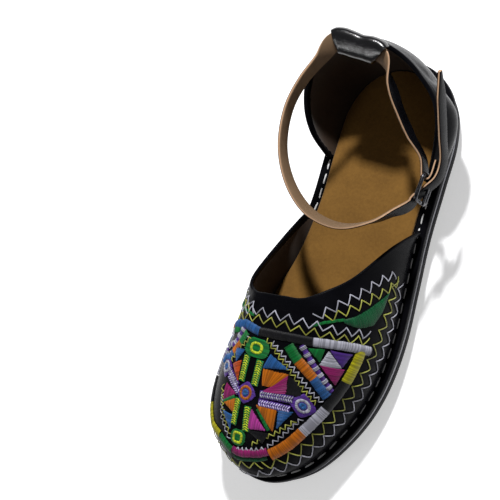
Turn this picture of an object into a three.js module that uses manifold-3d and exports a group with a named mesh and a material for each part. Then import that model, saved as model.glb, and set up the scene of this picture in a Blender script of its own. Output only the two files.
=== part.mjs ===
// Left ankle-strap flat with a closed, embroidered toe: stitched three-layer sole, insole,
// vamp and heel counter as hollow leather shells, and a buckled strap that runs through a loop
// at the heel. Millimetres, +Z up, toe towards -Y, outer (lateral) side towards +X.
//
// "t" is the distance along the shoe from the back of the heel towards the toe.

import * as THREE from 'three';
import { mergeVertices } from 'three/addons/utils/BufferGeometryUtils.js';
import Module from 'manifold-3d';

// Driving dimensions
const LENGTH = 250;
const GAP = 0.3;
const OUTSOLE_HEIGHT = 9;
const MIDSOLE_HEIGHT = 4.7;
const WELT_HEIGHT = 5.2;
const WELT_ROUNDING = 0.8;
const INSOLE_HEIGHT = 2.2;
const TOE_SPRING = 4;
const SPRING_START = 190;
const LEATHER = 2;
const FEATHER_INSET = 6.3;
const INSOLE_INSET = FEATHER_INSET + 2 * GAP;
const STRAP_WIDTH = 10;
const STRAP_THICKNESS = 2;
const LOOP_HALF_LENGTH = 13.5;
const LOOP_CENTRE = -4;
const LOOP_WALL = 1.8;
const LOOP_PLAY = 0.4;
const LOOP_REACH = 30;
const STRAP_CLIP = 0.45;
const WIRE_RADIUS = 1.1;
const PRONG_RADIUS = 0.8;

// Heights of the stacked layers
const MIDSOLE_BOTTOM = OUTSOLE_HEIGHT + GAP;
const WELT_BOTTOM = MIDSOLE_BOTTOM + MIDSOLE_HEIGHT + GAP;
const WELT_TOP = WELT_BOTTOM + WELT_HEIGHT;
const INSOLE_BOTTOM = WELT_TOP + GAP;
const FEATHER_HEIGHT = WELT_TOP + 1.5 * GAP;

// Resolution of the faceted surfaces
const SOLE_STATIONS = 36;
const VAMP_STATIONS = 52;
const VAMP_RISERS = 15;
const COUNTER_STATIONS = 44;
const COUNTER_RISERS = 12;
const STRAP_STEPS = 4;
const LEAST_WALL_RISE = 0.5;

// Rows of a table as objects keyed by its column names
function table(columns, rows) {
  return rows.map((row) => Object.fromEntries(columns.map((column, i) => [column, row[i]])));
}

// Levels of the sole's layers, upwards, with how far each lies inside the welt's edge
const OUTSOLE_LEVELS = [
  { z: 0, inset: 4 },
  { z: 1.2, inset: 3 },
  { z: OUTSOLE_HEIGHT, inset: 1.4 },
];
const MIDSOLE_LEVELS = [
  { z: MIDSOLE_BOTTOM, inset: 1.6 },
  { z: MIDSOLE_BOTTOM + MIDSOLE_HEIGHT, inset: 0.9 },
];
const WELT_LEVELS = [
  { z: WELT_BOTTOM, inset: WELT_ROUNDING },
  { z: WELT_BOTTOM + WELT_ROUNDING, inset: 0 },
  { z: WELT_TOP - WELT_ROUNDING, inset: 0 },
  { z: WELT_TOP, inset: WELT_ROUNDING },
];
const INSOLE_LEVELS = [
  { z: INSOLE_BOTTOM, inset: INSOLE_INSET },
  { z: INSOLE_BOTTOM + INSOLE_HEIGHT, inset: INSOLE_INSET },
];

// Edge of the welt: half widths of the last on its outer and inner side
const OUTLINE = [
  { t: 0, lateral: 0, medial: 0 },
  { t: 4, lateral: 16, medial: -15 },
  { t: 16, lateral: 29, medial: -28 },
  { t: 36, lateral: 36, medial: -35 },
  { t: 62, lateral: 38, medial: -34.5 },
  { t: 92, lateral: 40, medial: -32.5 },
  { t: 122, lateral: 44, medial: -34 },
  { t: 150, lateral: 47.5, medial: -40 },
  { t: 176, lateral: 47.5, medial: -45.5 },
  { t: 198, lateral: 43.5, medial: -47.5 },
  { t: 220, lateral: 34.5, medial: -44.5 },
  { t: 236, lateral: 24, medial: -35 },
  { t: 245, lateral: 13, medial: -21 },
  { t: LENGTH, lateral: -3, medial: -3 },
];

// Vamp sections from the outer wing round the toe to the inner wing. Each starts on the feather
// line at t, leaves it by "out" and "up", and arrives at the topline point from the handle.
const VAMP = table(['side', 't', 'out', 'up', 'topX', 'topT', 'topZ', 'handleX', 'handleT', 'handleZ'], [
  ['lateral', 92, 0.2, 1.3, 37.2, 91, 24, 0.2, 0, -1.3],
  ['lateral', 112, 2, 11, 35.5, 107.5, 50, 2, 3, -12],
  ['lateral', 140, 4, 22, 27, 130, 64, 7.5, 5, -11.5],
  ['lateral', 175, 4, 25, 17.2, 143, 71.4, 13.5, 16, -5.3],
  ['lateral', 212, 3, 24, 8.4, 149.7, 73, 11.6, 35.3, -9.5],
  ['toe', LENGTH, 16, 28, -2.2, 152, 73.8, -3.3, 60, -15.5],
  ['medial', 214, 3.5, 22, -13.4, 153.4, 72.4, -7.6, 32.6, -11.4],
  ['medial', 178, 0.3, 22, -22, 153.2, 68.4, -4.5, 12, -8],
  ['medial', 146, 2.2, 18, -28.5, 146, 61.5, -4, 2, -12],
  ['medial', 120, 2.5, 9, -30, 120, 40, -1, 0, -8],
  ['medial', 97, 0.2, 1.3, -28.4, 98, 24, -0.2, 0, -1.3],
]);

// Counter sections from the outer front corner round the heel to the inner front corner:
// height of the rim, and how far the wall stands out from the feather line there and half way up.
const COUNTER = [
  { side: 'lateral', t: 70, rimZ: 24, rimOut: 0.6, bulge: 0.3 },
  { side: 'lateral', t: 62, rimZ: 40, rimOut: 5.5, bulge: 3 },
  { side: 'lateral', t: 48, rimZ: 55, rimOut: 9.5, bulge: 7 },
  { side: 'lateral', t: 30, rimZ: 66, rimOut: 9, bulge: 9 },
  { side: 'lateral', t: 15, rimZ: 74, rimOut: 2.5, bulge: 4 },
  { side: 'heel', t: 0, rimZ: 89.3, rimOut: -3, bulge: 5 },
  { side: 'medial', t: 15, rimZ: 81, rimOut: 3, bulge: 5 },
  { side: 'medial', t: 30, rimZ: 72, rimOut: 6.5, bulge: 4 },
  { side: 'medial', t: 46, rimZ: 58, rimOut: 8, bulge: 3 },
  { side: 'medial', t: 58, rimZ: 43, rimOut: 6, bulge: 2 },
  { side: 'medial', t: 66, rimZ: 24, rimOut: 0.6, bulge: 0.3 },
];

// Buckle: the wire's plane stands at x, its bar and its front side at these t
const BUCKLE = { x: 45.5, z: 57, barT: 65.5, frontT: 80.5, halfHeight: 7.8, cornerRadius: 2.5 };
const FOLD_PLAY = 0.6;
const FOLD_OFFSET = WIRE_RADIUS + FOLD_PLAY + STRAP_THICKNESS / 2;
const OVER_BAR = FOLD_OFFSET + STRAP_THICKNESS + FOLD_PLAY;
const FOLD_ANGLES = [90, 45, 0, -45, -90].map(THREE.MathUtils.degToRad);

// Centre line of the strap from its fold round the bar to the tip of its free end. "tilt" leans
// the strap's upper edge outwards, in degrees.
const STRAP_ROUTE = [
  { x: BUCKLE.x + FOLD_OFFSET, t: 56.5, z: 57.5, tilt: 0 },
  ...FOLD_ANGLES.map((angle) => ({
    x: BUCKLE.x + FOLD_OFFSET * Math.sin(angle),
    t: BUCKLE.barT + FOLD_OFFSET * Math.cos(angle),
    z: BUCKLE.z,
    tilt: 0,
  })),
  { x: 40, t: 57.5, z: 60, tilt: 0 },
  { x: 32, t: 48.5, z: 68, tilt: -10 },
  { x: 24.5, t: 38.5, z: 76, tilt: -8 },
  { x: 17.8, t: 27.5, z: 83.5, tilt: -6 },
  { x: LOOP_CENTRE + LOOP_HALF_LENGTH, t: 15, z: 90, tilt: 56 },
  { x: LOOP_CENTRE, t: 14, z: 91, tilt: 62 },
  { x: LOOP_CENTRE - LOOP_HALF_LENGTH, t: 14.5, z: 91.5, tilt: 62 },
  { x: -23.5, t: 25.5, z: 89, tilt: 13 },
  { x: -30, t: 39, z: 87, tilt: 2 },
  { x: -33, t: 55, z: 86, tilt: 0 },
  { x: -30, t: 74, z: 85, tilt: 2 },
  { x: -23, t: 88, z: 84, tilt: 8 },
  { x: -11.5, t: 100, z: 84, tilt: 16 },
  { x: 1, t: 107, z: 83, tilt: 22 },
  { x: 17, t: 108, z: 80, tilt: 24 },
  { x: 30.8, t: 100, z: 74.5, tilt: 18 },
  { x: 37.9, t: 90.3, z: 66.5, tilt: 8 },
  { x: BUCKLE.x - FOLD_OFFSET - 1.6, t: BUCKLE.frontT + 3, z: BUCKLE.z + 1.2, tilt: 0 },
  { x: BUCKLE.x - FOLD_OFFSET - 0.2, t: BUCKLE.frontT - 2, z: BUCKLE.z, tilt: 0 },
  { x: BUCKLE.x + 1.6, t: BUCKLE.barT + 6.5, z: BUCKLE.z, tilt: 0 },
  { x: BUCKLE.x + OVER_BAR, t: BUCKLE.barT, z: BUCKLE.z, tilt: 0 },
  { x: BUCKLE.x + OVER_BAR + 0.4, t: 56.5, z: 58.5, tilt: 0 },
  { x: 49.2, t: 44.5, z: 66.5, tilt: 0 },
  { x: 47.5, t: 32, z: 77, tilt: 0 },
  { x: 45, t: 15, z: 91, tilt: 0 },
].map((row, index) => ({ ...row, index }));
const TIP_LENGTH = 14;
const TIP_WIDTH = 0.25;

const lerp = (a, b, k) => a + (b - a) * k;
const clamp = (value, low, high) => Math.min(high, Math.max(low, value));

// Value of a table's column at a key, on a smooth curve through its rows
function columnAt(rows, key, column, at) {
  const last = rows.length - 1;
  let i = 0;
  while (i < last - 1 && at > rows[i + 1][key]) i += 1;
  const slope = (j) => {
    const before = rows[Math.max(j - 1, 0)];
    const after = rows[Math.min(j + 1, last)];
    return (after[column] - before[column]) / (after[key] - before[key]);
  };
  const from = rows[i];
  const to = rows[i + 1];
  const span = to[key] - from[key];
  const k = (at - from[key]) / span;
  const k2 = k * k;
  const k3 = k2 * k;
  return (2 * k3 - 3 * k2 + 1) * from[column] + (k3 - 2 * k2 + k) * span * slope(i)
    + (3 * k2 - 2 * k3) * to[column] + (k3 - k2) * span * slope(i + 1);
}

// Outline parameter: 0 at the heel, 1 at the toe along the outer side, -1 along the inner side
const angleAt = (t) => Math.acos(clamp(1 - 2 * t / LENGTH, -1, 1));
const OUTLINE_ROWS = OUTLINE.map((row) => ({ ...row, angle: angleAt(row.t) }));

function outlinePoint(p) {
  const side = p > 1 ? 2 - p : Math.abs(p);
  const angle = Math.PI * side;
  const column = p >= 0 && p <= 1 ? 'lateral' : 'medial';
  const x = columnAt(OUTLINE_ROWS, 'angle', column, angle);
  return new THREE.Vector2(x, LENGTH * (1 - Math.cos(angle)) / 2);
}

// Point of the outline moved inwards, with its outward direction
function insetPoint(p, inset) {
  const step = 1e-3;
  const along = outlinePoint(p + step).sub(outlinePoint(p - step)).normalize();
  const outward = new THREE.Vector2(along.y, -along.x);
  return { at: outlinePoint(p).addScaledVector(outward, -inset), outward };
}

// Rise of the sole towards the toe
function springAt(t) {
  const k = Math.max(0, t - SPRING_START) / (LENGTH - SPRING_START);
  return TOE_SPRING * k * k;
}

const UPRIGHT = new THREE.Vector3(0, 0, 1);
const place = (x, t, z) => new THREE.Vector3(x, LENGTH / 2 - t, z);

// Collects the triangles of one closed solid
class Facets {
  constructor() {
    this.positions = [];
    this.triangles = [];
  }

  add(point) {
    this.positions.push(point.x, point.y, point.z);
    return this.positions.length / 3 - 1;
  }

  quad(a, b, c, d) {
    this.triangles.push(a, b, c, a, c, d);
  }

  geometry() {
    const geometry = new THREE.BufferGeometry();
    geometry.setAttribute('position', new THREE.Float32BufferAttribute(this.positions, 3));
    geometry.setIndex(this.triangles);
    return geometry;
  }
}

// Plate with the sole's outline, from levels of { z, inset } listed upwards
function solePlate(levels) {
  const facets = new Facets();
  const count = 2 * SOLE_STATIONS;
  const rings = levels.map(({ z, inset }) => {
    const ring = [];
    for (let i = 0; i < count; i += 1) {
      const { at } = insetPoint(i / SOLE_STATIONS, inset);
      ring.push(facets.add(place(at.x, at.y, z + springAt(at.y))));
    }
    return ring;
  });
  for (let level = 0; level < rings.length - 1; level += 1) {
    for (let i = 0; i < count; i += 1) {
      const j = (i + 1) % count;
      facets.quad(rings[level][i], rings[level + 1][i], rings[level + 1][j], rings[level][j]);
    }
  }
  const cap = (ring, upward) => {
    for (let i = 0; i < SOLE_STATIONS; i += 1) {
      const outer = [ring[i], ring[i + 1]];
      const inner = [ring[(count - i) % count], ring[count - i - 1]];
      const corners = [outer[0], outer[1], inner[1], inner[0]];
      const polygon = corners.filter((corner, k) => corners.indexOf(corner) === k);
      if (upward) polygon.reverse();
      for (let k = 1; k < polygon.length - 1; k += 1) {
        facets.triangles.push(polygon[0], polygon[k], polygon[k + 1]);
      }
    }
  };
  cap(rings[0], false);
  cap(rings[rings.length - 1], true);
  return facets.geometry();
}

// Shell of leather from a grid of points on its inner face; its wall is laid outwards, and its
// foot stays level
function leatherShell(stations, risers, innerPoint) {
  const facets = new Facets();
  const inner = [];
  for (let i = 0; i <= stations; i += 1) {
    const column = [];
    for (let j = 0; j <= risers; j += 1) column.push(innerPoint(i / stations, j / risers));
    inner.push(column);
  }
  const inwardAt = (i, j) => {
    const acrossA = inner[Math.max(i - 1, 0)][j];
    const acrossB = inner[Math.min(i + 1, stations)][j];
    const upA = inner[i][Math.max(j - 1, 0)];
    const upB = inner[i][Math.min(j + 1, risers)];
    return acrossB.clone().sub(acrossA).cross(upB.clone().sub(upA)).normalize();
  };
  const faces = [0, LEATHER].map((depth) => inner.map((column, i) => column.map((point, j) => {
    const moved = point.clone().addScaledVector(inwardAt(i, j), -depth);
    const footZ = column[0].z;
    moved.z = j === 0 ? footZ : Math.max(moved.z, lerp(footZ, point.z, LEAST_WALL_RISE));
    return facets.add(moved);
  })));
  const [lining, skin] = faces;
  for (let i = 0; i < stations; i += 1) {
    for (let j = 0; j < risers; j += 1) {
      facets.quad(lining[i][j], lining[i + 1][j], lining[i + 1][j + 1], lining[i][j + 1]);
      facets.quad(skin[i][j], skin[i][j + 1], skin[i + 1][j + 1], skin[i + 1][j]);
    }
    facets.quad(lining[i][0], skin[i][0], skin[i + 1][0], lining[i + 1][0]);
    facets.quad(lining[i][risers], lining[i + 1][risers], skin[i + 1][risers], skin[i][risers]);
  }
  for (let j = 0; j < risers; j += 1) {
    facets.quad(lining[0][j], lining[0][j + 1], skin[0][j + 1], skin[0][j]);
    facets.quad(lining[stations][j], skin[stations][j], skin[stations][j + 1], lining[stations][j + 1]);
  }
  return facets.geometry();
}

// Rows of a shell's table keyed by their place along the sole's outline
function keyedRows(rows, toeSide) {
  return rows.map((row) => {
    const p = angleAt(row.t) / Math.PI;
    const station = row.side === 'medial' ? (toeSide ? 2 - p : -p) : p;
    return { ...row, station };
  }).sort((a, b) => a.station - b.station);
}

function vampPoint(rows, across, rise) {
  const station = lerp(rows[0].station, rows[rows.length - 1].station, across);
  const value = (column) => columnAt(rows, 'station', column, station);
  const { at, outward } = insetPoint(station, FEATHER_INSET);
  const footZ = FEATHER_HEIGHT + springAt(at.y);
  const foot = place(at.x, at.y, footZ);
  const stand = at.clone().addScaledVector(outward, value('out'));
  const leave = place(stand.x, stand.y, footZ + value('up'));
  const top = place(value('topX'), value('topT'), value('topZ'));
  const arrive = place(value('topX') + value('handleX'), value('topT') + value('handleT'),
    value('topZ') + value('handleZ'));
  return new THREE.CubicBezierCurve3(foot, leave, arrive, top).getPoint(rise);
}

function counterPoint(rows, across, rise) {
  const station = lerp(rows[0].station, rows[rows.length - 1].station, across);
  const value = (column) => columnAt(rows, 'station', column, station);
  const { at, outward } = insetPoint(station, FEATHER_INSET);
  at.addScaledVector(outward, value('rimOut') * rise + value('bulge') * Math.sin(Math.PI * rise));
  return place(at.x, at.y, lerp(FEATHER_HEIGHT, value('rimZ'), rise));
}

// Solid swept along frames of { at, side, up }; each section point is [along side, along up].
// A second section makes a hole along the sweep, and a closed sweep joins its ends.
function sweep(frames, sectionAt, closed = false, holeAt = null) {
  const facets = new Facets();
  const ring = (frame, section) => section.map(([across, up]) => facets.add(
    frame.at.clone().addScaledVector(frame.side, across).addScaledVector(frame.up, up)));
  const outer = frames.map((frame, i) => ring(frame, sectionAt(i)));
  const inner = holeAt ? frames.map((frame, i) => ring(frame, holeAt(i))) : null;
  const count = outer[0].length;
  const spans = closed ? frames.length : frames.length - 1;
  for (let i = 0; i < spans; i += 1) {
    const next = (i + 1) % frames.length;
    for (let j = 0; j < count; j += 1) {
      const k = (j + 1) % count;
      facets.quad(outer[i][j], outer[i][k], outer[next][k], outer[next][j]);
      if (inner) facets.quad(inner[i][j], inner[next][j], inner[next][k], inner[i][k]);
    }
  }
  const end = (i, reversed) => {
    for (let j = 0; j < count; j += 1) {
      const k = (j + 1) % count;
      if (inner) {
        const corners = [outer[i][j], inner[i][j], inner[i][k], outer[i][k]];
        facets.quad(...(reversed ? corners.reverse() : corners));
      } else if (j > 0 && k > 0) {
        const corners = [outer[i][0], outer[i][k], outer[i][j]];
        facets.triangles.push(...(reversed ? corners.reverse() : corners));
      }
    }
  };
  if (!closed) {
    end(0, false);
    end(frames.length - 1, true);
  }
  return facets.geometry();
}

// Frames along a curve whose "up" stays as near to the leaning vertical as the curve allows
function uprightFrames(curve, count, tiltAt) {
  return Array.from({ length: count + 1 }, (_, i) => {
    const k = i / count;
    const along = curve.getTangent(k);
    const level = new THREE.Vector3().crossVectors(along, UPRIGHT).normalize();
    const upright = new THREE.Vector3().crossVectors(level, along);
    const tilt = THREE.MathUtils.degToRad(tiltAt(k));
    const up = upright.multiplyScalar(Math.cos(tilt)).addScaledVector(level, Math.sin(tilt));
    return { at: curve.getPoint(k), side: new THREE.Vector3().crossVectors(up, along), up };
  });
}

// Rectangle with clipped corners, for straps and sleeves
function clippedRectangle(halfAcross, halfUp, clip) {
  const corners = [[1, -1], [1, 1], [-1, 1], [-1, -1]];
  return corners.flatMap(([a, u], i) => {
    const nearUp = [a * halfAcross, u * (halfUp - clip)];
    const nearAcross = [a * (halfAcross - clip), u * halfUp];
    return i % 2 === 0 ? [nearAcross, nearUp] : [nearUp, nearAcross];
  });
}

const regularPolygon = (radius, sides) => Array.from({ length: sides }, (_, i) => {
  const angle = 2 * Math.PI * i / sides;
  return [radius * Math.cos(angle), radius * Math.sin(angle)];
});

function strapFrames() {
  const points = STRAP_ROUTE.map(({ x, t, z }) => place(x, t, z));
  const curve = new THREE.CatmullRomCurve3(points, false, 'centripetal');
  const last = STRAP_ROUTE.length - 1;
  return uprightFrames(curve, STRAP_STEPS * last, (k) => columnAt(STRAP_ROUTE, 'index', 'tilt', k * last));
}

function strapGeometry(frames) {
  const tip = frames[frames.length - 1].at;
  return sweep(frames, (i) => {
    const toTip = i > frames.length / 2 ? frames[i].at.distanceTo(tip) : LENGTH;
    const width = STRAP_WIDTH * clamp(lerp(TIP_WIDTH, 1, toTip / TIP_LENGTH), TIP_WIDTH, 1);
    return clippedRectangle(STRAP_THICKNESS / 2, width / 2, STRAP_CLIP);
  });
}

// Folded sleeve inside the top of the counter's back, along the stretch of strap that it holds
function loopGeometry(frames) {
  const heelY = LENGTH / 2;
  const inside = ({ at }) => Math.abs(at.x - LOOP_CENTRE) <= LOOP_HALF_LENGTH && heelY - at.y < LOOP_REACH;
  const held = frames.filter(inside);
  const halfThick = STRAP_THICKNESS / 2 + LOOP_PLAY;
  const halfTall = STRAP_WIDTH / 2 + LOOP_PLAY;
  return sweep(held, () => clippedRectangle(halfThick + LOOP_WALL, halfTall + LOOP_WALL, LOOP_WALL), false,
    () => clippedRectangle(halfThick, halfTall, STRAP_CLIP));
}

function buckleFrameGeometry() {
  const { x, z, barT, frontT, halfHeight, cornerRadius } = BUCKLE;
  const middle = (barT + frontT) / 2;
  const halfLong = (frontT - barT) / 2;
  const corners = [[1, 1], [-1, 1], [-1, -1], [1, -1]];
  const frames = corners.flatMap(([a, u], corner) => [0, 1, 2, 3, 4].map((i) => {
    const angle = Math.PI / 2 * (corner + i / 4);
    const radial = new THREE.Vector3(0, -Math.cos(angle), Math.sin(angle));
    const centre = place(x, middle + a * (halfLong - cornerRadius), z + u * (halfHeight - cornerRadius));
    const at = centre.addScaledVector(radial, cornerRadius);
    return { at, side: new THREE.Vector3(-1, 0, 0), up: radial };
  }));
  return sweep(frames, () => regularPolygon(WIRE_RADIUS, 8), true);
}

// Pin that leaves the bar, passes out through the strap and rests on the frame's front side
const PRONG_ROUTE = [
  { x: BUCKLE.x + 0.4, t: BUCKLE.barT + WIRE_RADIUS + FOLD_OFFSET + 0.4 },
  { x: BUCKLE.x + 1.8, t: BUCKLE.barT + 6 },
  { x: BUCKLE.x + WIRE_RADIUS + PRONG_RADIUS + GAP, t: BUCKLE.frontT - 3 },
  { x: BUCKLE.x + WIRE_RADIUS + PRONG_RADIUS + GAP, t: BUCKLE.frontT + 1.4 },
];

function prongGeometry(radius) {
  const curve = new THREE.CatmullRomCurve3(PRONG_ROUTE.map(({ x, t }) => place(x, t, BUCKLE.z)));
  return sweep(uprightFrames(curve, 12, () => 0), () => regularPolygon(radius, 8));
}

// Boolean cut of one geometry by another
const wasm = await Module();
wasm.setup();

function toSolid(geometry) {
  const merged = mergeVertices(geometry);
  return new wasm.Manifold(new wasm.Mesh({
    numProp: 3,
    vertProperties: Float32Array.from(merged.attributes.position.array),
    triVerts: Uint32Array.from(merged.index.array),
  }));
}

function cut(geometry, tool) {
  const mesh = toSolid(geometry).subtract(toSolid(tool)).getMesh();
  const result = new THREE.BufferGeometry();
  result.setAttribute('position', new THREE.Float32BufferAttribute(mesh.vertProperties, 3));
  result.setIndex(Array.from(mesh.triVerts));
  return result;
}

// Finishes
const leather = new THREE.MeshStandardMaterial({ color: 0x121316, roughness: 0.38, metalness: 0 });
const rubber = new THREE.MeshStandardMaterial({ color: 0x17181a, roughness: 0.7, metalness: 0 });
const paleLayer = new THREE.MeshStandardMaterial({ color: 0xb9b9bd, roughness: 0.65, metalness: 0 });
const suede = new THREE.MeshStandardMaterial({ color: 0xb07c30, roughness: 0.9, metalness: 0 });
const wire = new THREE.MeshStandardMaterial({ color: 0x6f7074, roughness: 0.35, metalness: 1 });

const shoe = new THREE.Group();

function addPiece(name, geometry, material) {
  const mesh = new THREE.Mesh(geometry, material);
  mesh.name = name;
  shoe.add(mesh);
}

const vampRows = keyedRows(VAMP, true);
const counterRows = keyedRows(COUNTER, false);
const strapLine = strapFrames();

addPiece('outsole', solePlate(OUTSOLE_LEVELS), rubber);
addPiece('midsole', solePlate(MIDSOLE_LEVELS), paleLayer);
addPiece('welt', solePlate(WELT_LEVELS), leather);
addPiece('insole', solePlate(INSOLE_LEVELS), suede);
addPiece('vamp', leatherShell(VAMP_STATIONS, VAMP_RISERS,
  (across, rise) => vampPoint(vampRows, across, rise)), leather);
addPiece('heel_counter', leatherShell(COUNTER_STATIONS, COUNTER_RISERS,
  (across, rise) => counterPoint(counterRows, across, rise)), leather);
addPiece('heel_loop', loopGeometry(strapLine), leather);
addPiece('ankle_strap', cut(strapGeometry(strapLine), prongGeometry(PRONG_RADIUS + GAP)), leather);
addPiece('buckle_frame', buckleFrameGeometry(), wire);
addPiece('buckle_prong', prongGeometry(PRONG_RADIUS), wire);

// The middle of the whole shoe's footprint stands on the origin
const middle = new THREE.Box3().setFromObject(shoe).getCenter(new THREE.Vector3());
shoe.position.set(-middle.x, -middle.y, 0);

export default shoe;
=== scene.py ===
"""Left ankle-strap flat with a closed, embroidered toe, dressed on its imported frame.

Shapes are worked out in shoe millimetres: x towards the outer side, y towards the heel, z up, with
"t" measured from the back of the heel towards the toe. They are moved into the frame at the end.
"""
import logging
import math
from abc import ABC, abstractmethod
from dataclasses import dataclass
from enum import Enum
from typing import Callable, Sequence

import bmesh
import bpy
import numpy as np
from mathutils import Matrix, Vector
from mathutils.bvhtree import BVHTree


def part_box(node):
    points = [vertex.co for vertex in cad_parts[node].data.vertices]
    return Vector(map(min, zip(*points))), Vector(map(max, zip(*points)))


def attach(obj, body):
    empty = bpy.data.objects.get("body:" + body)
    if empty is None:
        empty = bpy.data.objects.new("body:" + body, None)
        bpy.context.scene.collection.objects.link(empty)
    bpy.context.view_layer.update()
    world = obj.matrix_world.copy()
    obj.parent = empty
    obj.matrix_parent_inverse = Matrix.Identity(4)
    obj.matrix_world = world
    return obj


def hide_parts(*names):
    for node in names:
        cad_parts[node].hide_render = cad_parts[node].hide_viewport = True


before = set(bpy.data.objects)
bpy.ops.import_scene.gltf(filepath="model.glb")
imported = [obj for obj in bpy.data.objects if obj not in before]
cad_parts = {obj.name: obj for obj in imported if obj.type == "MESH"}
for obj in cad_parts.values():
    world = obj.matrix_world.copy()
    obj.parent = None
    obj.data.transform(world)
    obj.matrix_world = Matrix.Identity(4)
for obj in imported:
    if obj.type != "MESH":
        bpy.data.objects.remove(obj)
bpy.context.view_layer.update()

BODY = "root"
SEED = 11
MM = 1000.0

log = logging.getLogger("flat")

Path = Sequence[tuple[float, float]]
Skin = Callable[[np.ndarray, np.ndarray], np.ndarray]
Lay = Callable[[np.ndarray], np.ndarray]


def unit(vectors: np.ndarray) -> np.ndarray:
    """Vectors along the last axis, scaled to length one."""
    return vectors / np.maximum(np.linalg.norm(vectors, axis=-1, keepdims=True), 1e-9)


def ease(low: float, high: float, values: np.ndarray) -> np.ndarray:
    """Smooth step from 0 at low to 1 at high."""
    k = np.clip((np.asarray(values, float) - low) / (high - low), 0.0, 1.0)
    return k * k * (3.0 - 2.0 * k)


def linear(rgb: tuple[int, int, int]) -> tuple[float, float, float, float]:
    """Scene-linear colour of a screen colour.

    Args:
        rgb: Red, green and blue from 0 to 255.

    Returns:
        Red, green, blue and a full alpha, from 0 to 1.
    """
    steps = [c / 255.0 for c in rgb]
    parts = [c / 12.92 if c <= 0.04045 else ((c + 0.055) / 1.055) ** 2.4 for c in steps]
    return (parts[0], parts[1], parts[2], 1.0)


@dataclass(frozen=True)
class SmoothTable:
    """Columns of numbers, read on a smooth curve through their rows."""

    keys: np.ndarray
    rows: np.ndarray

    def at(self, where: np.ndarray) -> np.ndarray:
        """Reads every column.

        Args:
            where: Keys to read at, of any shape.

        Returns:
            The columns, along one more axis than the keys.
        """
        where = np.asarray(where, float)
        count = len(self.keys)
        before = np.maximum(np.arange(count) - 1, 0)
        after = np.minimum(np.arange(count) + 1, count - 1)
        slopes = (self.rows[after] - self.rows[before]) / (self.keys[after] - self.keys[before])[:, None]
        i = np.searchsorted(self.keys[1:-1], where, side="left")
        span = (self.keys[i + 1] - self.keys[i])[..., None]
        k = (where - self.keys[i])[..., None] / span
        rest = 1.0 - k
        held = (1.0 + 2.0 * k) * rest**2 * self.rows[i] + k**2 * (3.0 - 2.0 * k) * self.rows[i + 1]
        return held + span * k * rest * (rest * slopes[i] - k * slopes[i + 1])


@dataclass(frozen=True)
class Last:
    """The foot shape that the sole and both uppers are built round."""

    length: float = 250.0
    feather_inset: float = 6.3
    feather_height: float = 19.95
    spring_start: float = 190.0
    spring: float = 4.0
    cad_stations: int = 72
    nudge: float = 1e-3
    edge: tuple[tuple[float, float, float], ...] = (
        (0, 0, 0), (4, 16, -15), (16, 29, -28), (36, 36, -35), (62, 38, -34.5), (92, 40, -32.5),
        (122, 44, -34), (150, 47.5, -40), (176, 47.5, -45.5), (198, 43.5, -47.5), (220, 34.5, -44.5),
        (236, 24, -35), (245, 13, -21), (250, -3, -3),
    )

    def turn(self, t: np.ndarray) -> np.ndarray:
        """Angle along half of the outline at a distance from the heel."""
        return np.arccos(np.clip(1.0 - 2.0 * np.asarray(t, float) / self.length, -1.0, 1.0))

    def outline(self, station: np.ndarray) -> np.ndarray:
        """Edge of the welt in plan.

        Args:
            station: 0 at the heel, 1 at the toe by the outer side, 2 back at the heel.

        Returns:
            Points (x, t).
        """
        station = np.asarray(station, float)
        angle = np.pi * np.where(station > 1.0, 2.0 - station, np.abs(station))
        rows = np.array(self.edge, float)
        half = SmoothTable(self.turn(rows[:, 0]), rows[:, 1:]).at(angle)
        outer_side = (station >= 0.0) & (station <= 1.0)
        x = np.where(outer_side, half[..., 0], half[..., 1])
        return np.stack([x, self.length * (1.0 - np.cos(angle)) / 2.0], -1)

    def inset(self, station: np.ndarray, distance: np.ndarray) -> tuple[np.ndarray, np.ndarray]:
        """Outline moved inwards.

        Args:
            station: Places along the outline.
            distance: How far inside the edge, one number or one for each place.

        Returns:
            Points (x, t) and the outward directions there.
        """
        station = np.asarray(station)
        along = unit(self.outline(station + self.nudge) - self.outline(station - self.nudge))
        outward = np.stack([along[..., 1], -along[..., 0]], -1)
        return self.outline(station) - np.asarray(distance, float)[..., None] * outward, outward

    def lift(self, t: np.ndarray) -> np.ndarray:
        """Rise of the sole towards the toe."""
        k = np.maximum(0.0, np.asarray(t, float) - self.spring_start) / (self.length - self.spring_start)
        return self.spring * k * k

    def place(self, x: np.ndarray, t: np.ndarray, z: np.ndarray) -> np.ndarray:
        """Points from plan and height."""
        return np.stack(np.broadcast_arrays(x, self.length / 2.0 - np.asarray(t, float), z), -1)

    def to_frame(self, points: np.ndarray) -> np.ndarray:
        """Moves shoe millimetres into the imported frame's metres.

        Args:
            points: Points in shoe millimetres.

        Returns:
            The points in the frame.
        """
        widest = self.outline(np.arange(self.cad_stations) * 2.0 / self.cad_stations)[:, 0].min()
        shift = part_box("welt")[0].x * MM - widest
        return (points + np.array([shift, 0.0, 0.0])) / MM


LAST = Last()


class Side(Enum):
    """Side of the foot that a row of a table belongs to."""

    OUTER = "outer"
    MIDDLE = "middle"
    INNER = "inner"


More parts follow.
